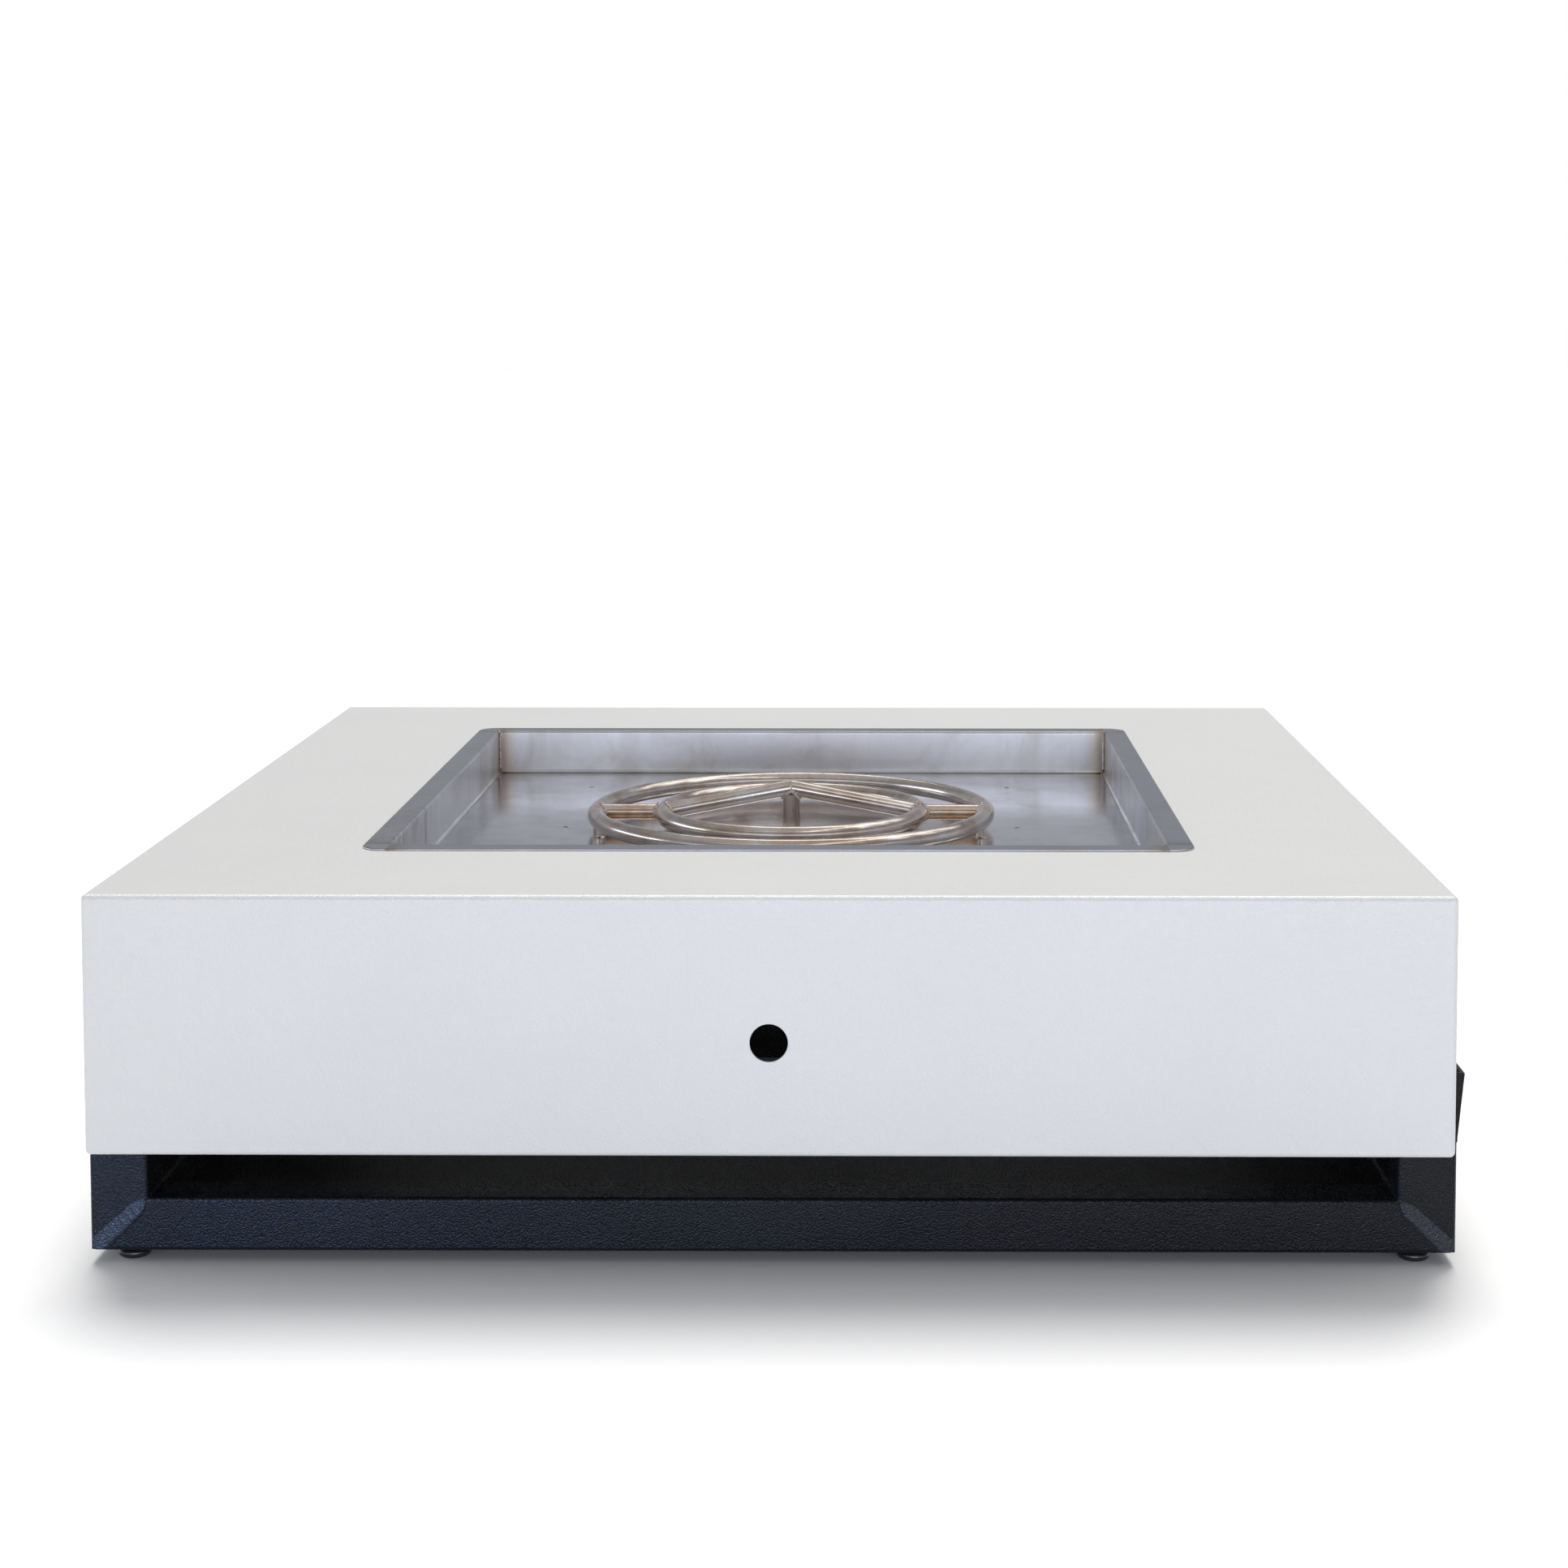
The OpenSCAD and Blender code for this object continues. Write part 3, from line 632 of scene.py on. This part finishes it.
def make_frame(side, name):
    """A welded frame of square tube: a cross rail with an upright post at each end."""
    low, high = rail_low.z, post_top
    outside, inside = side_x - 0.3 * mm, rail_high.x - tube_w
    outer_r, inner_r = 5 * mm, 1.5 * mm
    outline = [
        (-outside, low, outer_r), (outside, low, outer_r), (outside, high, outer_r),
        (inside, high, outer_r), (inside, low + tube_w, inner_r), (-inside, low + tube_w, inner_r),
        (-inside, high, outer_r), (-outside, high, outer_r)
    ]
    front = rail_low.y
    steps = 5
    layers = []
    for k in range(steps + 1):
        a = math.pi / 2 * k / steps
        layers.append((tube_r * (1 - math.sin(a)), front + tube_r * (1 - math.cos(a))))
    layers += [(inset, 2 * front + tube_w - y) for inset, y in reversed(layers)]
    rings = [
        [(p.x, -side * y, p.y) for p in inset_outline(outline, inset)] for inset, y in layers
    ]
    piece = loft(name + "_frame", rings, caps=True)
    insert = [(8.05 * mm, -1 * mm), (8.05 * mm, 2 * mm), (11.1 * mm, 2 * mm), (11.1 * mm, 34 * mm)]
    for corner, (_, y_side) in corners.items():
        if y_side == side:
            foot_low, foot_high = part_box(corner + "_stud")
            middle = (foot_low + foot_high) / 2
            cut(piece, lathe("insert_cutter", insert, (middle.x, middle.y, low), sides=48))
    finish_piece(piece, "base", "black_powder_coat", crease=50, stands_for=[
        name + "_rail", name + "_left_post", name + "_right_post"
    ])


def make_mitre_weld(side, name, x_side):
    """The ground weld along a mitre: a wide, low, uneven band with a crease along its upper edge."""
    wander = random.Random(name)
    steps = 48
    face = side * (-rail_low.y)
    across = Vector((x_side, 0, 1)).normalized()
    # Across the band, as a share of its half width, and how far it stands proud of the tube.
    profile = [(-1.0, -0.2), (-0.92, 0.10), (-0.80, 0.52), (-0.66, 0.74), (-0.50, 0.76),
               (-0.2, 0.58), (0.1, 0.38), (0.4, 0.20), (0.62, 0.08), (0.80, 0.02), (1.0, -0.2)]
    for label, y, out in (("outside", face, side), ("inside", face - side * tube_w, -side)):
        rings = []
        for k in range(steps + 1):
            share = k / steps
            x = x_side * (side_x - square_end - share * (tube_w - 3.5 * mm))
            z = rail_low.z + 3 * mm + share * (tube_w - 6 * mm)
            ends = min(1, 5 * share + 0.55, 5 * (1 - share) + 0.3)
            width = (10.0 - 2.2 * share + wander.uniform(-0.2, 0.2)) * ends * mm
            height = (1.5 + wander.uniform(-0.05, 0.05)) * mm
            ring = []
            for u, h in profile:
                place = u * width * across + Vector((x, y + out * h * height, z))
                place.z = max(place.z, rail_low.z + 2 * mm)
                place.x = x_side * min(abs(place.x), side_x - 2.3 * mm)
                ring.append(place)
            ring += [Vector((p.x, y - out * mm, p.z)) for p in reversed(ring)]
            rings.append(ring)
        piece = loft(f"{name}_mitre_weld_{label}", rings, caps=True)
        # The band's coat is painted lighter and bluer than the black coat: a painted sheen.
        finish_piece(piece, "base", "mitre_weld_painted_sheen", crease=60)


def make_cheek(node):
    """A side plate, cut back at its ends, where the square tube's face runs out to its corner."""
    plate = bevelled(node, 1.0 * mm, 3)
    low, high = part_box(node)
    if node == "left_cheek":
        # The photo shows nothing of this plate beside the shell, so it leans out less.
        for vertex in plate.data.vertices:
            rise = (vertex.co.z - shell_z) / (high.z - shell_z)
            if rise > 0 and vertex.co.x < -rail_high.x + 1 * mm:
                vertex.co.x += 3 * mm * rise
    reach = 20 * mm
    corner_points = [(low.x - reach, low.z - reach), (high.x + reach, low.z - reach),
                     (high.x + reach, post_top), (low.x - reach, post_top)]
    for end in (-1, 1):
        depths = (high.y - square_end, high.y + reach)
        rings = [[(x, end * y, z) for x, z in corner_points] for y in depths]
        cut(plate, loft("end_cutter", rings, caps=True))
    finish_piece(plate, "base", "black_powder_coat", stands_for=[node])


make_frame(-1, "front")
make_frame(1, "back")
for corner, (x_side, y_side) in corners.items():
    make_mitre_weld(y_side, corner, x_side)
for node in ("left_rail", "right_rail", "post_caps", "bottom_tray"):
    finish_piece(bevelled(node, 0.4 * mm, 3), "base", "black_powder_coat", stands_for=[node])
for node in ("left_cheek", "right_cheek"):
    make_cheek(node)
finish_piece(bevelled("foot_inserts"), "base", "zinc_steel", stands_for=["foot_inserts"])


# --- Feet --------------------------------------------------------------------------------------

def make_pad(corner):
    """A moulded glide: rounded all round, with a waist and a collar under the base."""
    low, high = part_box(corner + "_pad")
    middle = (low + high) / 2
    rim = (high.x - low.x) / 2
    profile = [(0.1 * mm, 0.6 * mm), (rim - 6.5 * mm, 0.6 * mm), (rim - 5.5 * mm, 0)]
    profile += [(rim - 4.6 * mm, 0)]
    profile += arc(rim - 4.6 * mm, 4.6 * mm, 4.6 * mm, -80, 60, 16)
    profile += [(rim - 3.1 * mm, 9.2 * mm), (rim - 3.9 * mm, 9.6 * mm)]
    profile += [(rim - 4.2 * mm, high.z - 0.6 * mm), (rim - 4.8 * mm, high.z)]
    profile += [(5.1 * mm, high.z), (5.1 * mm, 6 * mm), (0.1 * mm, 6 * mm)]
    piece = lathe(corner + "_glide", profile, (middle.x, middle.y, 0), sides=72)
    finish_piece(piece, corner + "_foot_pad", "foot_plastic", stands_for=[corner + "_pad"])


def make_stud(corner):
    """A threaded stud, with the thread cut as a helix and a plain end at each side."""
    low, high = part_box(corner + "_stud")
    middle = (low + high) / 2
    outer = (high.x - low.x) / 2
    pitch = 1.5 * mm
    thread_depth = 0.75 * mm
    sides = 32
    step = pitch / 6
    count = round((high.z - low.z) / step)
    rings = []
    for i in range(count + 1):
        z = low.z + (high.z - low.z) * i / count
        from_end = min(z - low.z, high.z - z)
        ring = []
        for k in range(sides):
            a = 2 * math.pi * k / sides
            phase = (z / pitch - k / sides) % 1
            cut_in = thread_depth * max(0, 1 - abs(2 * phase - 1) * 1.25)
            cut_in = max(cut_in, thread_depth - from_end)
            r = outer - min(cut_in, thread_depth)
            ring.append((middle.x + r * math.cos(a), middle.y + r * math.sin(a), z))
        rings.append(ring)
    piece = loft(corner + "_thread", rings, caps=True)
    finish_piece(piece, corner + "_foot_stud", "zinc_steel", crease=60,
                 stands_for=[corner + "_stud"])


for corner in corners:
    make_pad(corner)
    make_stud(corner)


# --- Pan ---------------------------------------------------------------------------------------

def make_pan():
    """One folded sheet: a flat lip with a rolled edge, four walls and a floor; pan_holes drills its
    drain holes.
    """
    lip_half = pan_high.x
    lip_top = pan_high.z
    floor_z = pan_low.z + pan_t
    lip_bend = 3.5 * mm
    floor_bend = 5 * mm
    under_bend = 4 * mm
    wall_r = 2.5 * mm
    edge = pan_t / 2
    outer_half = pan_half + pan_t
    top_side = arc(lip_half - edge, lip_top - edge, edge, -90, 90, 6)
    top_side += arc(pan_half + lip_bend, lip_top - lip_bend, lip_bend, 90, 180, 8)
    top_side += arc(pan_half - floor_bend, floor_z + floor_bend, floor_bend, 0, -90, 8)
    under = [(pan_half - floor_bend, pan_low.z)]
    under += arc(outer_half - under_bend, pan_low.z + under_bend, under_bend, -90, 0, 6)
    under += [(outer_half, lip_top - pan_t - 0.8 * mm), (outer_half + 0.8 * mm, lip_top - pan_t)]
    rings = []
    for half, z in reversed(top_side):
        grows = max(0, half - pan_half) / (lip_half - pan_half)
        corner_r = wall_r + (pan_lip_r - wall_r) * grows
        if z < floor_z + floor_bend:
            corner_r = max(half - pan_half + wall_r, 0)
        rings.append(square_ring(half, corner_r, z, 8))
    for half, z in reversed(under):
        rings.append(square_ring(half, max(half - outer_half + under_bend, 0), z, 8))
    return loft("pan_sheet", rings, caps=True)


def pan_holes(pan):
    """Drills the drain holes and the hole for the riser post through the pan's floor."""
    middle_z = pan_low.z + pan_t / 2
    holes = [(x, y, drain_r, 32) for x in (-drain_x, drain_x) for y in (-drain_y, 0, drain_y)]
    holes.append((0, 0, riser_r + 0.5 * mm, 64))
    cut(pan, *[
        lathe("drill", [(r, -5 * mm), (r, 5 * mm)], (x, y, middle_z), sides)
        for x, y, r, sides in holes
    ])


def make_corner_weld(x_side, y_side, name):
    """The seam in an inside corner of the pan, with lumps of weld at its foot."""
    wander = random.Random(name)
    inset = 0.9 * mm
    corner_at = Vector((x_side * (pan_half - inset), y_side * (pan_half - inset), 0))
    top, bottom = pan_high.z - 5 * mm, pan_low.z + pan_t + 3 * mm
    steps = 90
    path, radii = [], []
    for k in range(steps + 1):
        z = top + (bottom - top) * k / steps
        jog = Vector((wander.uniform(-1, 1), wander.uniform(-1, 1), 0)) * 0.12 * mm
        path.append(corner_at + jog + Vector((0, 0, z)))
        ripple = 0.18 * math.sin(k * 1.9) + wander.uniform(-0.1, 0.1)
        radii.append((1.35 + ripple) * mm * min(1, 0.35 + 0.2 * k))
    foot = corner_at + Vector((-x_side, -y_side, 0)) * 2.2 * mm
    for k in range(12):
        share = k / 11
        path.append(corner_at.lerp(foot, share) + Vector((0, 0, bottom - 2.6 * mm * share)))
        radii.append((2.4 + 0.9 * math.sin(k * 1.7) - 1.1 * share) * mm)
    piece = tube(f"pan_{name}_weld", path, radii, sides=14)
    finish_piece(piece, "pan", "weld", crease=80)


pan = make_pan()
pan_holes(pan)
finish_piece(pan, "pan", "pan_stainless", stands_for=["drop_in_pan"])
for corner, (x_side, y_side) in corners.items():
    make_corner_weld(x_side, y_side, corner)


# --- Burner ------------------------------------------------------------------------------------

def make_ring(name, r, ports):
    """A ring of tube with gas ports drilled down through its top."""
    steps = 240
    path = [
        (r * math.cos(2 * math.pi * k / steps), r * math.sin(2 * math.pi * k / steps), ring_z)
        for k in range(steps)
    ]
    ring = tube(name + "_tube", path, burner_r, sides=40, loop=True, centre=(0, 0, ring_z))
    mesh = bmesh.new()
    for i in range(ports):
        a = (i + 0.5) * 2 * math.pi / ports
        place = Matrix.Translation((r * math.cos(a), r * math.sin(a), ring_z + burner_r))
        bmesh.ops.create_cone(
            mesh, cap_ends=True, segments=20, radius1=port_r, radius2=port_r,
            depth=8 * mm, matrix=place
        )
    cut(ring, to_object("ports", mesh))
    finish_piece(ring, "pan", "burner_stainless", stands_for=[name])


def from_ring(p, r):
    """How far a point lies outside the surface of the ring of radius r."""
    out = math.hypot(p.x, p.y) - r
    return math.hypot(out, p.z - ring_z) - burner_r


def arm_line(side):
    """The start and the direction of the left or right arm's middle line."""
    start = Vector((0, 0, apex_z))
    return start, (Vector((side * inner_ring_r, 0, ring_z)) - start).normalized()


def from_arms(p):
    """How far a point lies outside the nearer arm."""
    start, along = arm_line(1 if p.x >= 0 else -1)
    offset = p - start
    return (offset - offset.dot(along) * along).length - arm_r


def meeting_curve(start, along, r, outside, low, high, count=120):
    """Where a round bar's side first meets another surface, found by halving along the bar."""
    across = along.orthogonal().normalized()
    side = along.cross(across)
    curve = []
    for k in range(count):
        a = 2 * math.pi * k / count
        base = start + r * (math.cos(a) * across + math.sin(a) * side)
        near, far = low, high
        for _ in range(30):
            middle = (near + far) / 2
            if outside(base + middle * along) > 0:
                near = middle
            else:
                far = middle
        curve.append(base + near * along)
    return curve


def make_bead(name, curve, size):
    """A weld bead along a closed curve, with the ripples that the welder's hand leaves."""
    wander = random.Random(name)
    middle = sum(curve, Vector()) / len(curve)
    ripples = round(len(curve) / 5)
    drift = [wander.uniform(0.85, 1.15) for _ in range(9)]
    radii = []
    for k in range(len(curve)):
        share = k / len(curve)
        ripple = 1 + 0.16 * math.cos(2 * math.pi * ripples * share)
        here = share * len(drift)
        a, b = drift[int(here) % len(drift)], drift[(int(here) + 1) % len(drift)]
        slow = a + (b - a) * (here % 1)
        radii.append(size * ripple * slow)
    bead = tube(name, curve, radii, sides=14, loop=True, centre=middle)
    finish_piece(bead, "pan", "weld", crease=80)


def make_spoke(side, name):
    x0, x1 = inner_ring_r + 4 * mm, outer_ring_r - 4 * mm
    steps = 24
    path = [(side * (x0 + (x1 - x0) * k / steps), 0, ring_z) for k in range(steps + 1)]
    piece = tube(name + "_spoke_tube", path, spoke_r, sides=40)
    finish_piece(piece, "pan", "burner_bar", stands_for=[name + "_spoke"])
    middle = Vector((side * (x0 + x1) / 2, 0, ring_z))
    out = Vector((side, 0, 0))
    reach = (x1 - x0) / 2
    outer = meeting_curve(middle, out, spoke_r, lambda p: from_ring(p, outer_ring_r), 0, reach)
    make_bead(name + "_spoke_outer_weld", outer, 1.9 * mm)
    inner = meeting_curve(middle, -out, spoke_r, lambda p: from_ring(p, inner_ring_r), 0, reach)
    make_bead(name + "_spoke_inner_weld", inner, 2.1 * mm)


def make_arm(side, name):
    """A sloping tube, cut upright where it meets the other arm over the post."""
    start, along = arm_line(side)
    reach = (Vector((side * inner_ring_r, 0, ring_z)) - start).length - 5 * mm
    across = Vector((0, 1, 0))
    up = across.cross(along)
    steps = 40
    rings = []
    for k in range(steps + 1):
        ring = []
        for i in range(40):
            a = 2 * math.pi * i / 40
            offset = arm_r * (math.cos(a) * across + math.sin(a) * up)
            share = reach * k / steps
            if k == 0:
                share = -offset.x / along.x
            ring.append(start + offset + share * along)
        rings.append(ring)
    piece = loft(name + "_arm_tube", rings, caps=True)
    finish_piece(piece, "pan", "burner_bar", stands_for=[name + "_arm"])
    foot = meeting_curve(start, along, arm_r, lambda p: from_ring(p, inner_ring_r),
                         60 * mm, reach)
    make_bead(name + "_arm_weld", foot, 1.9 * mm)


def make_post():
    """The riser post, with its top inside the arms, and the weld that wraps the joint."""
    start = Vector((0, 0, post_low.z))
    up = Vector((0, 0, 1))
    top = apex_z - 7 * mm
    steps = 20
    path = [start + (top - start.z) * k / steps * up for k in range(steps + 1)]
    piece = tube("riser_post_tube", path, riser_r, sides=48)
    finish_piece(piece, "pan", "burner_post", stands_for=["riser_post"])
    joint = meeting_curve(start, up, riser_r - 1 * mm, from_arms, 40 * mm, 66 * mm)
    make_bead("riser_post_weld", [p + Vector((p.x, p.y, 0)) * 0.08 for p in joint], 2.3 * mm)
    around = [2 * math.pi * k / 80 for k in range(80)]
    crown = [Vector((0, arm_r * math.cos(a), apex_z + arm_r * math.sin(a))) for a in around]
    radii = [(1.1 - 1.05 * max(0, math.sin(a)) ** 6) * mm for a in around]
    bead = tube("apex_weld", crown, radii, sides=12, loop=True, centre=(0, 0, apex_z))
    finish_piece(bead, "pan", "weld", crease=80)


def make_supports():
    """Four round studs under the outer ring, each with a fillet of weld at the floor."""
    mesh = bmesh.new()
    floor_z = pan_low.z + pan_t
    height = ring_z - floor_z - 6 * mm
    profile = [(support_r + 1.6 * mm, 0), (support_r + 0.6 * mm, 0.5 * mm),
               (support_r, 1.8 * mm), (support_r, height)]
    for turn in (0, 180):
        for tilt in (-support_angle, support_angle):
            a = math.radians(turn + tilt)
            place = (outer_ring_r * math.cos(a), outer_ring_r * math.sin(a), floor_z)
            stud = lathe("support", profile, place, sides=40)
            mesh.from_mesh(stud.data)
            bpy.data.objects.remove(stud)
    piece = to_object("ring_support_studs", mesh)
    finish_piece(piece, "pan", "burner_post",
                 stands_for=["ring_supports"])


make_ring("outer_ring", outer_ring_r, outer_ports)
make_ring("inner_ring", inner_ring_r, inner_ports)
for side, name in ((-1, "left"), (1, "right")):
    make_spoke(side, name)
    make_arm(side, name)
make_post()
make_supports()
finish_piece(bevelled("pan_washer", 0.3 * mm), "pan", "pan_stainless", stands_for=["pan_washer"])
for node in ("pan_locknut", "air_mixer"):
    finish_piece(bevelled(node), "pan", "brass", stands_for=[node])


# --- Valve and gas line ------------------------------------------------------------------------

def smooth_path(points, steps):
    """A smooth curve through the points, as the CAD model draws the gas line."""
    points = [Vector(p) * mm for p in points]
    middle = points[1:-1]
    made = [points[0]]
    for i in range(len(middle) - 1):
        a, b = middle[max(i - 1, 0)], middle[i]
        c, d = middle[i + 1], middle[min(i + 2, len(middle) - 1)]
        for k in range(steps):
            t = k / steps
            made.append((2 * b + (c - a) * t + (2 * a - 5 * b + 4 * c - d) * t ** 2
                         + (3 * b - a - 3 * c + d) * t ** 3) / 2)
    return made + [middle[-1], points[-1]]


def even_steps(path, step):
    """The same path with its points a fixed step apart."""
    made = [path[0]]
    left = step
    for a, b in zip(path, path[1:]):
        length = (b - a).length
        while left <= length:
            made.append(a.lerp(b, left / length))
            left += step
        left -= length
    return made


def make_line():
    """The corrugated stainless line, plain where its nuts hold it."""
    pitch = 3.2 * mm
    path = even_steps(smooth_path(line_points, 24), pitch / 6)
    plain = round(14 * mm / (pitch / 6))
    radii = []
    for i in range(len(path)):
        wave = 0.5 + 0.5 * math.cos(2 * math.pi * i / 6)
        if i < plain or i > len(path) - plain:
            wave = 1
        radii.append(line_r - 1.3 * mm * (1 - wave) - 0.05 * mm)
    piece = tube("corrugated_line", path, radii, sides=28)
    finish_piece(piece, "shell", "line_stainless", stands_for=["gas_line"], crease=70)


make_line()
for node in ("valve_body", "inlet_fitting", "outlet_fitting", "line_nuts"):
    finish_piece(bevelled(node), "shell", "brass", stands_for=[node])
# Painted shade: the bracket, bonnet nut and stem behind the control hole are coloured near black to
# stand in for the shade there.
finish_piece(bevelled("valve_bracket", 0.6 * mm), "shell", "black_powder_coat",
             stands_for=["valve_bracket"])
finish_piece(bevelled("bonnet_nut"), "shell", "dark_steel", stands_for=["bonnet_nut"])
finish_piece(bevelled("valve_stem"), "valve_key_stem", "dark_steel", stands_for=["valve_stem"])
finish_piece(bevelled("valve_plug"), "valve_key_stem", "brass", stands_for=["valve_plug"])


# --- Floor, lights and world -------------------------------------------------------------------

def make_floor():
    mesh = bmesh.new()
    bmesh.ops.create_grid(mesh, x_segments=8, y_segments=8, size=60)
    floor = to_object("studio_floor", mesh)
    floor.data.materials.append(floor_paint())


def aim(light, target):
    away = light.location - Vector(target)
    light.rotation_mode = "QUATERNION"
    light.rotation_quaternion = away.to_track_quat("Z", "Y")


def make_sun(name, place, strength, angle, colour, only):
    """A broad sun that lights nothing but the pieces of the collection only."""
    data = bpy.data.lights.new(name, "SUN")
    data.energy = strength
    data.angle = math.radians(angle)
    data.color = colour
    light = bpy.data.objects.new(name, data)
    bpy.context.scene.collection.objects.link(light)
    light.location = place
    light.light_linking.receiver_collection = only
    aim(light, (0, 0, 0))


def make_panel(name, place, target, width, height, power, colour, only=None):
    """A soft box. With only, a collection, it lights nothing but that collection's pieces."""
    data = bpy.data.lights.new(name, "AREA")
    data.shape = "RECTANGLE"
    data.size = width
    data.size_y = height
    data.energy = power
    data.color = colour
    light = bpy.data.objects.new(name, data)
    bpy.context.scene.collection.objects.link(light)
    light.location = place
    light.visible_camera = False
    light.light_linking.receiver_collection = only
    aim(light, target)


def pieces_with(*names, without=False):
    """A collection of the pieces that have one of the named materials, or of all the others."""
    made = bpy.data.collections.new("lit_pieces")
    wanted = [materials[name] for name in names]
    for piece in bpy.data.objects:
        if piece.type == "MESH" and piece.data.materials:
            if (piece.data.materials[0] in wanted) != without:
                made.objects.link(piece)
    return made


def make_world():
    """White behind the object, and a soft grey sky that is brighter overhead for its light."""
    world = bpy.data.worlds.new("studio")
    bpy.context.scene.world = world
    world.use_nodes = True
    tree = world.node_tree
    tree.nodes.clear()
    direction = add(tree, "TexCoord").outputs["Generated"]
    apart = add(tree, "SeparateXYZ", inputs={0: direction})
    height = apart.outputs["Z"]
    sky = ramp(tree, spread(tree, height, -0.2, 1.0, 0, 1), [
        (0.0, (0.30, 0.31, 0.33)), (0.35, (0.52, 0.54, 0.59)), (0.6, (0.30, 0.30, 0.31)),
        (0.8, (0.45, 0.45, 0.445)), (1.0, (0.66, 0.655, 0.645))
    ])
    ahead = spread(tree, apart.outputs["Y"], -0.35, -0.85, 0, 1)
    low = spread(tree, height, 0.02, 0.08, 0, 1)
    level = math_node(tree, "MULTIPLY", low, spread(tree, height, 0.34, 0.16, 0, 1))
    wall = math_node(tree, "MULTIPLY", ahead, level)
    sky = mix(tree, wall, sky, (1.50, 1.55, 1.68, 1), "ADD")
    light = add(tree, "Background", inputs={"Color": sky, "Strength": 0.75})
    seen = add(tree, "Background", inputs={"Color": (1, 1, 1, 1), "Strength": 1.0})
    camera_ray = add(tree, "LightPath").outputs["Is Camera Ray"]
    both = add(tree, "MixShader", inputs={
        0: camera_ray, 1: light.outputs[0], 2: seen.outputs[0]
    })
    out = add(tree, "OutputWorld", inputs={"Surface": both.outputs[0]})
    out.is_active_output = True


make_floor()
make_world()
steel = ("pan_stainless", "burner_stainless", "burner_bar", "burner_post", "weld")
not_steel = pieces_with(*steel, without=True)
make_sun("key", (-0.02, 0.62, 1.4), 2.6, 38, (1.0, 0.99, 0.965), not_steel)
strips = (("strip_above", -0.15, 7), ("strip_behind", 0.7, 8), ("strip_back", 1.5, 8),
          ("strip_far", 2.6, 9))
for name, y, power in strips:
    make_panel(name, (1.2, y, 3.0), (0.6, 0, 0.3), 4.5, 0.26, power, (1.0, 0.985, 0.96))
make_panel("strip_ahead", (0, -1.7, 2.6), (0, 0, 0.3), 4.0, 0.14, 2, (1.0, 0.99, 0.97))
make_panel("front_fill", (0.35, -4.2, 0.34), (0, -0.6, 0.2), 3.2, 0.5, 51, (0.76, 0.82, 1.0))
make_panel("left_wall", (-3.5, 0.2, 0.9), (0.4, 0, 0.3), 2.5, 0.7, 18, (0.80, 0.87, 1.0))
black_parts = pieces_with("black_powder_coat", "mitre_weld_painted_sheen")
make_panel("blue_side", (-1.15, -2.1, 0.14), (-0.6, -0.6, 0.06), 0.4, 0.2, 22, (0.22, 0.44, 1.0),
           black_parts)
make_panel("blue_key", (-1.9, -3.5, 1.7), (-0.3, -0.6, 0.06), 0.5, 0.5, 40, (0.42, 0.64, 1.0),
           black_parts)
bpy.context.scene.view_settings.view_transform = "Standard"
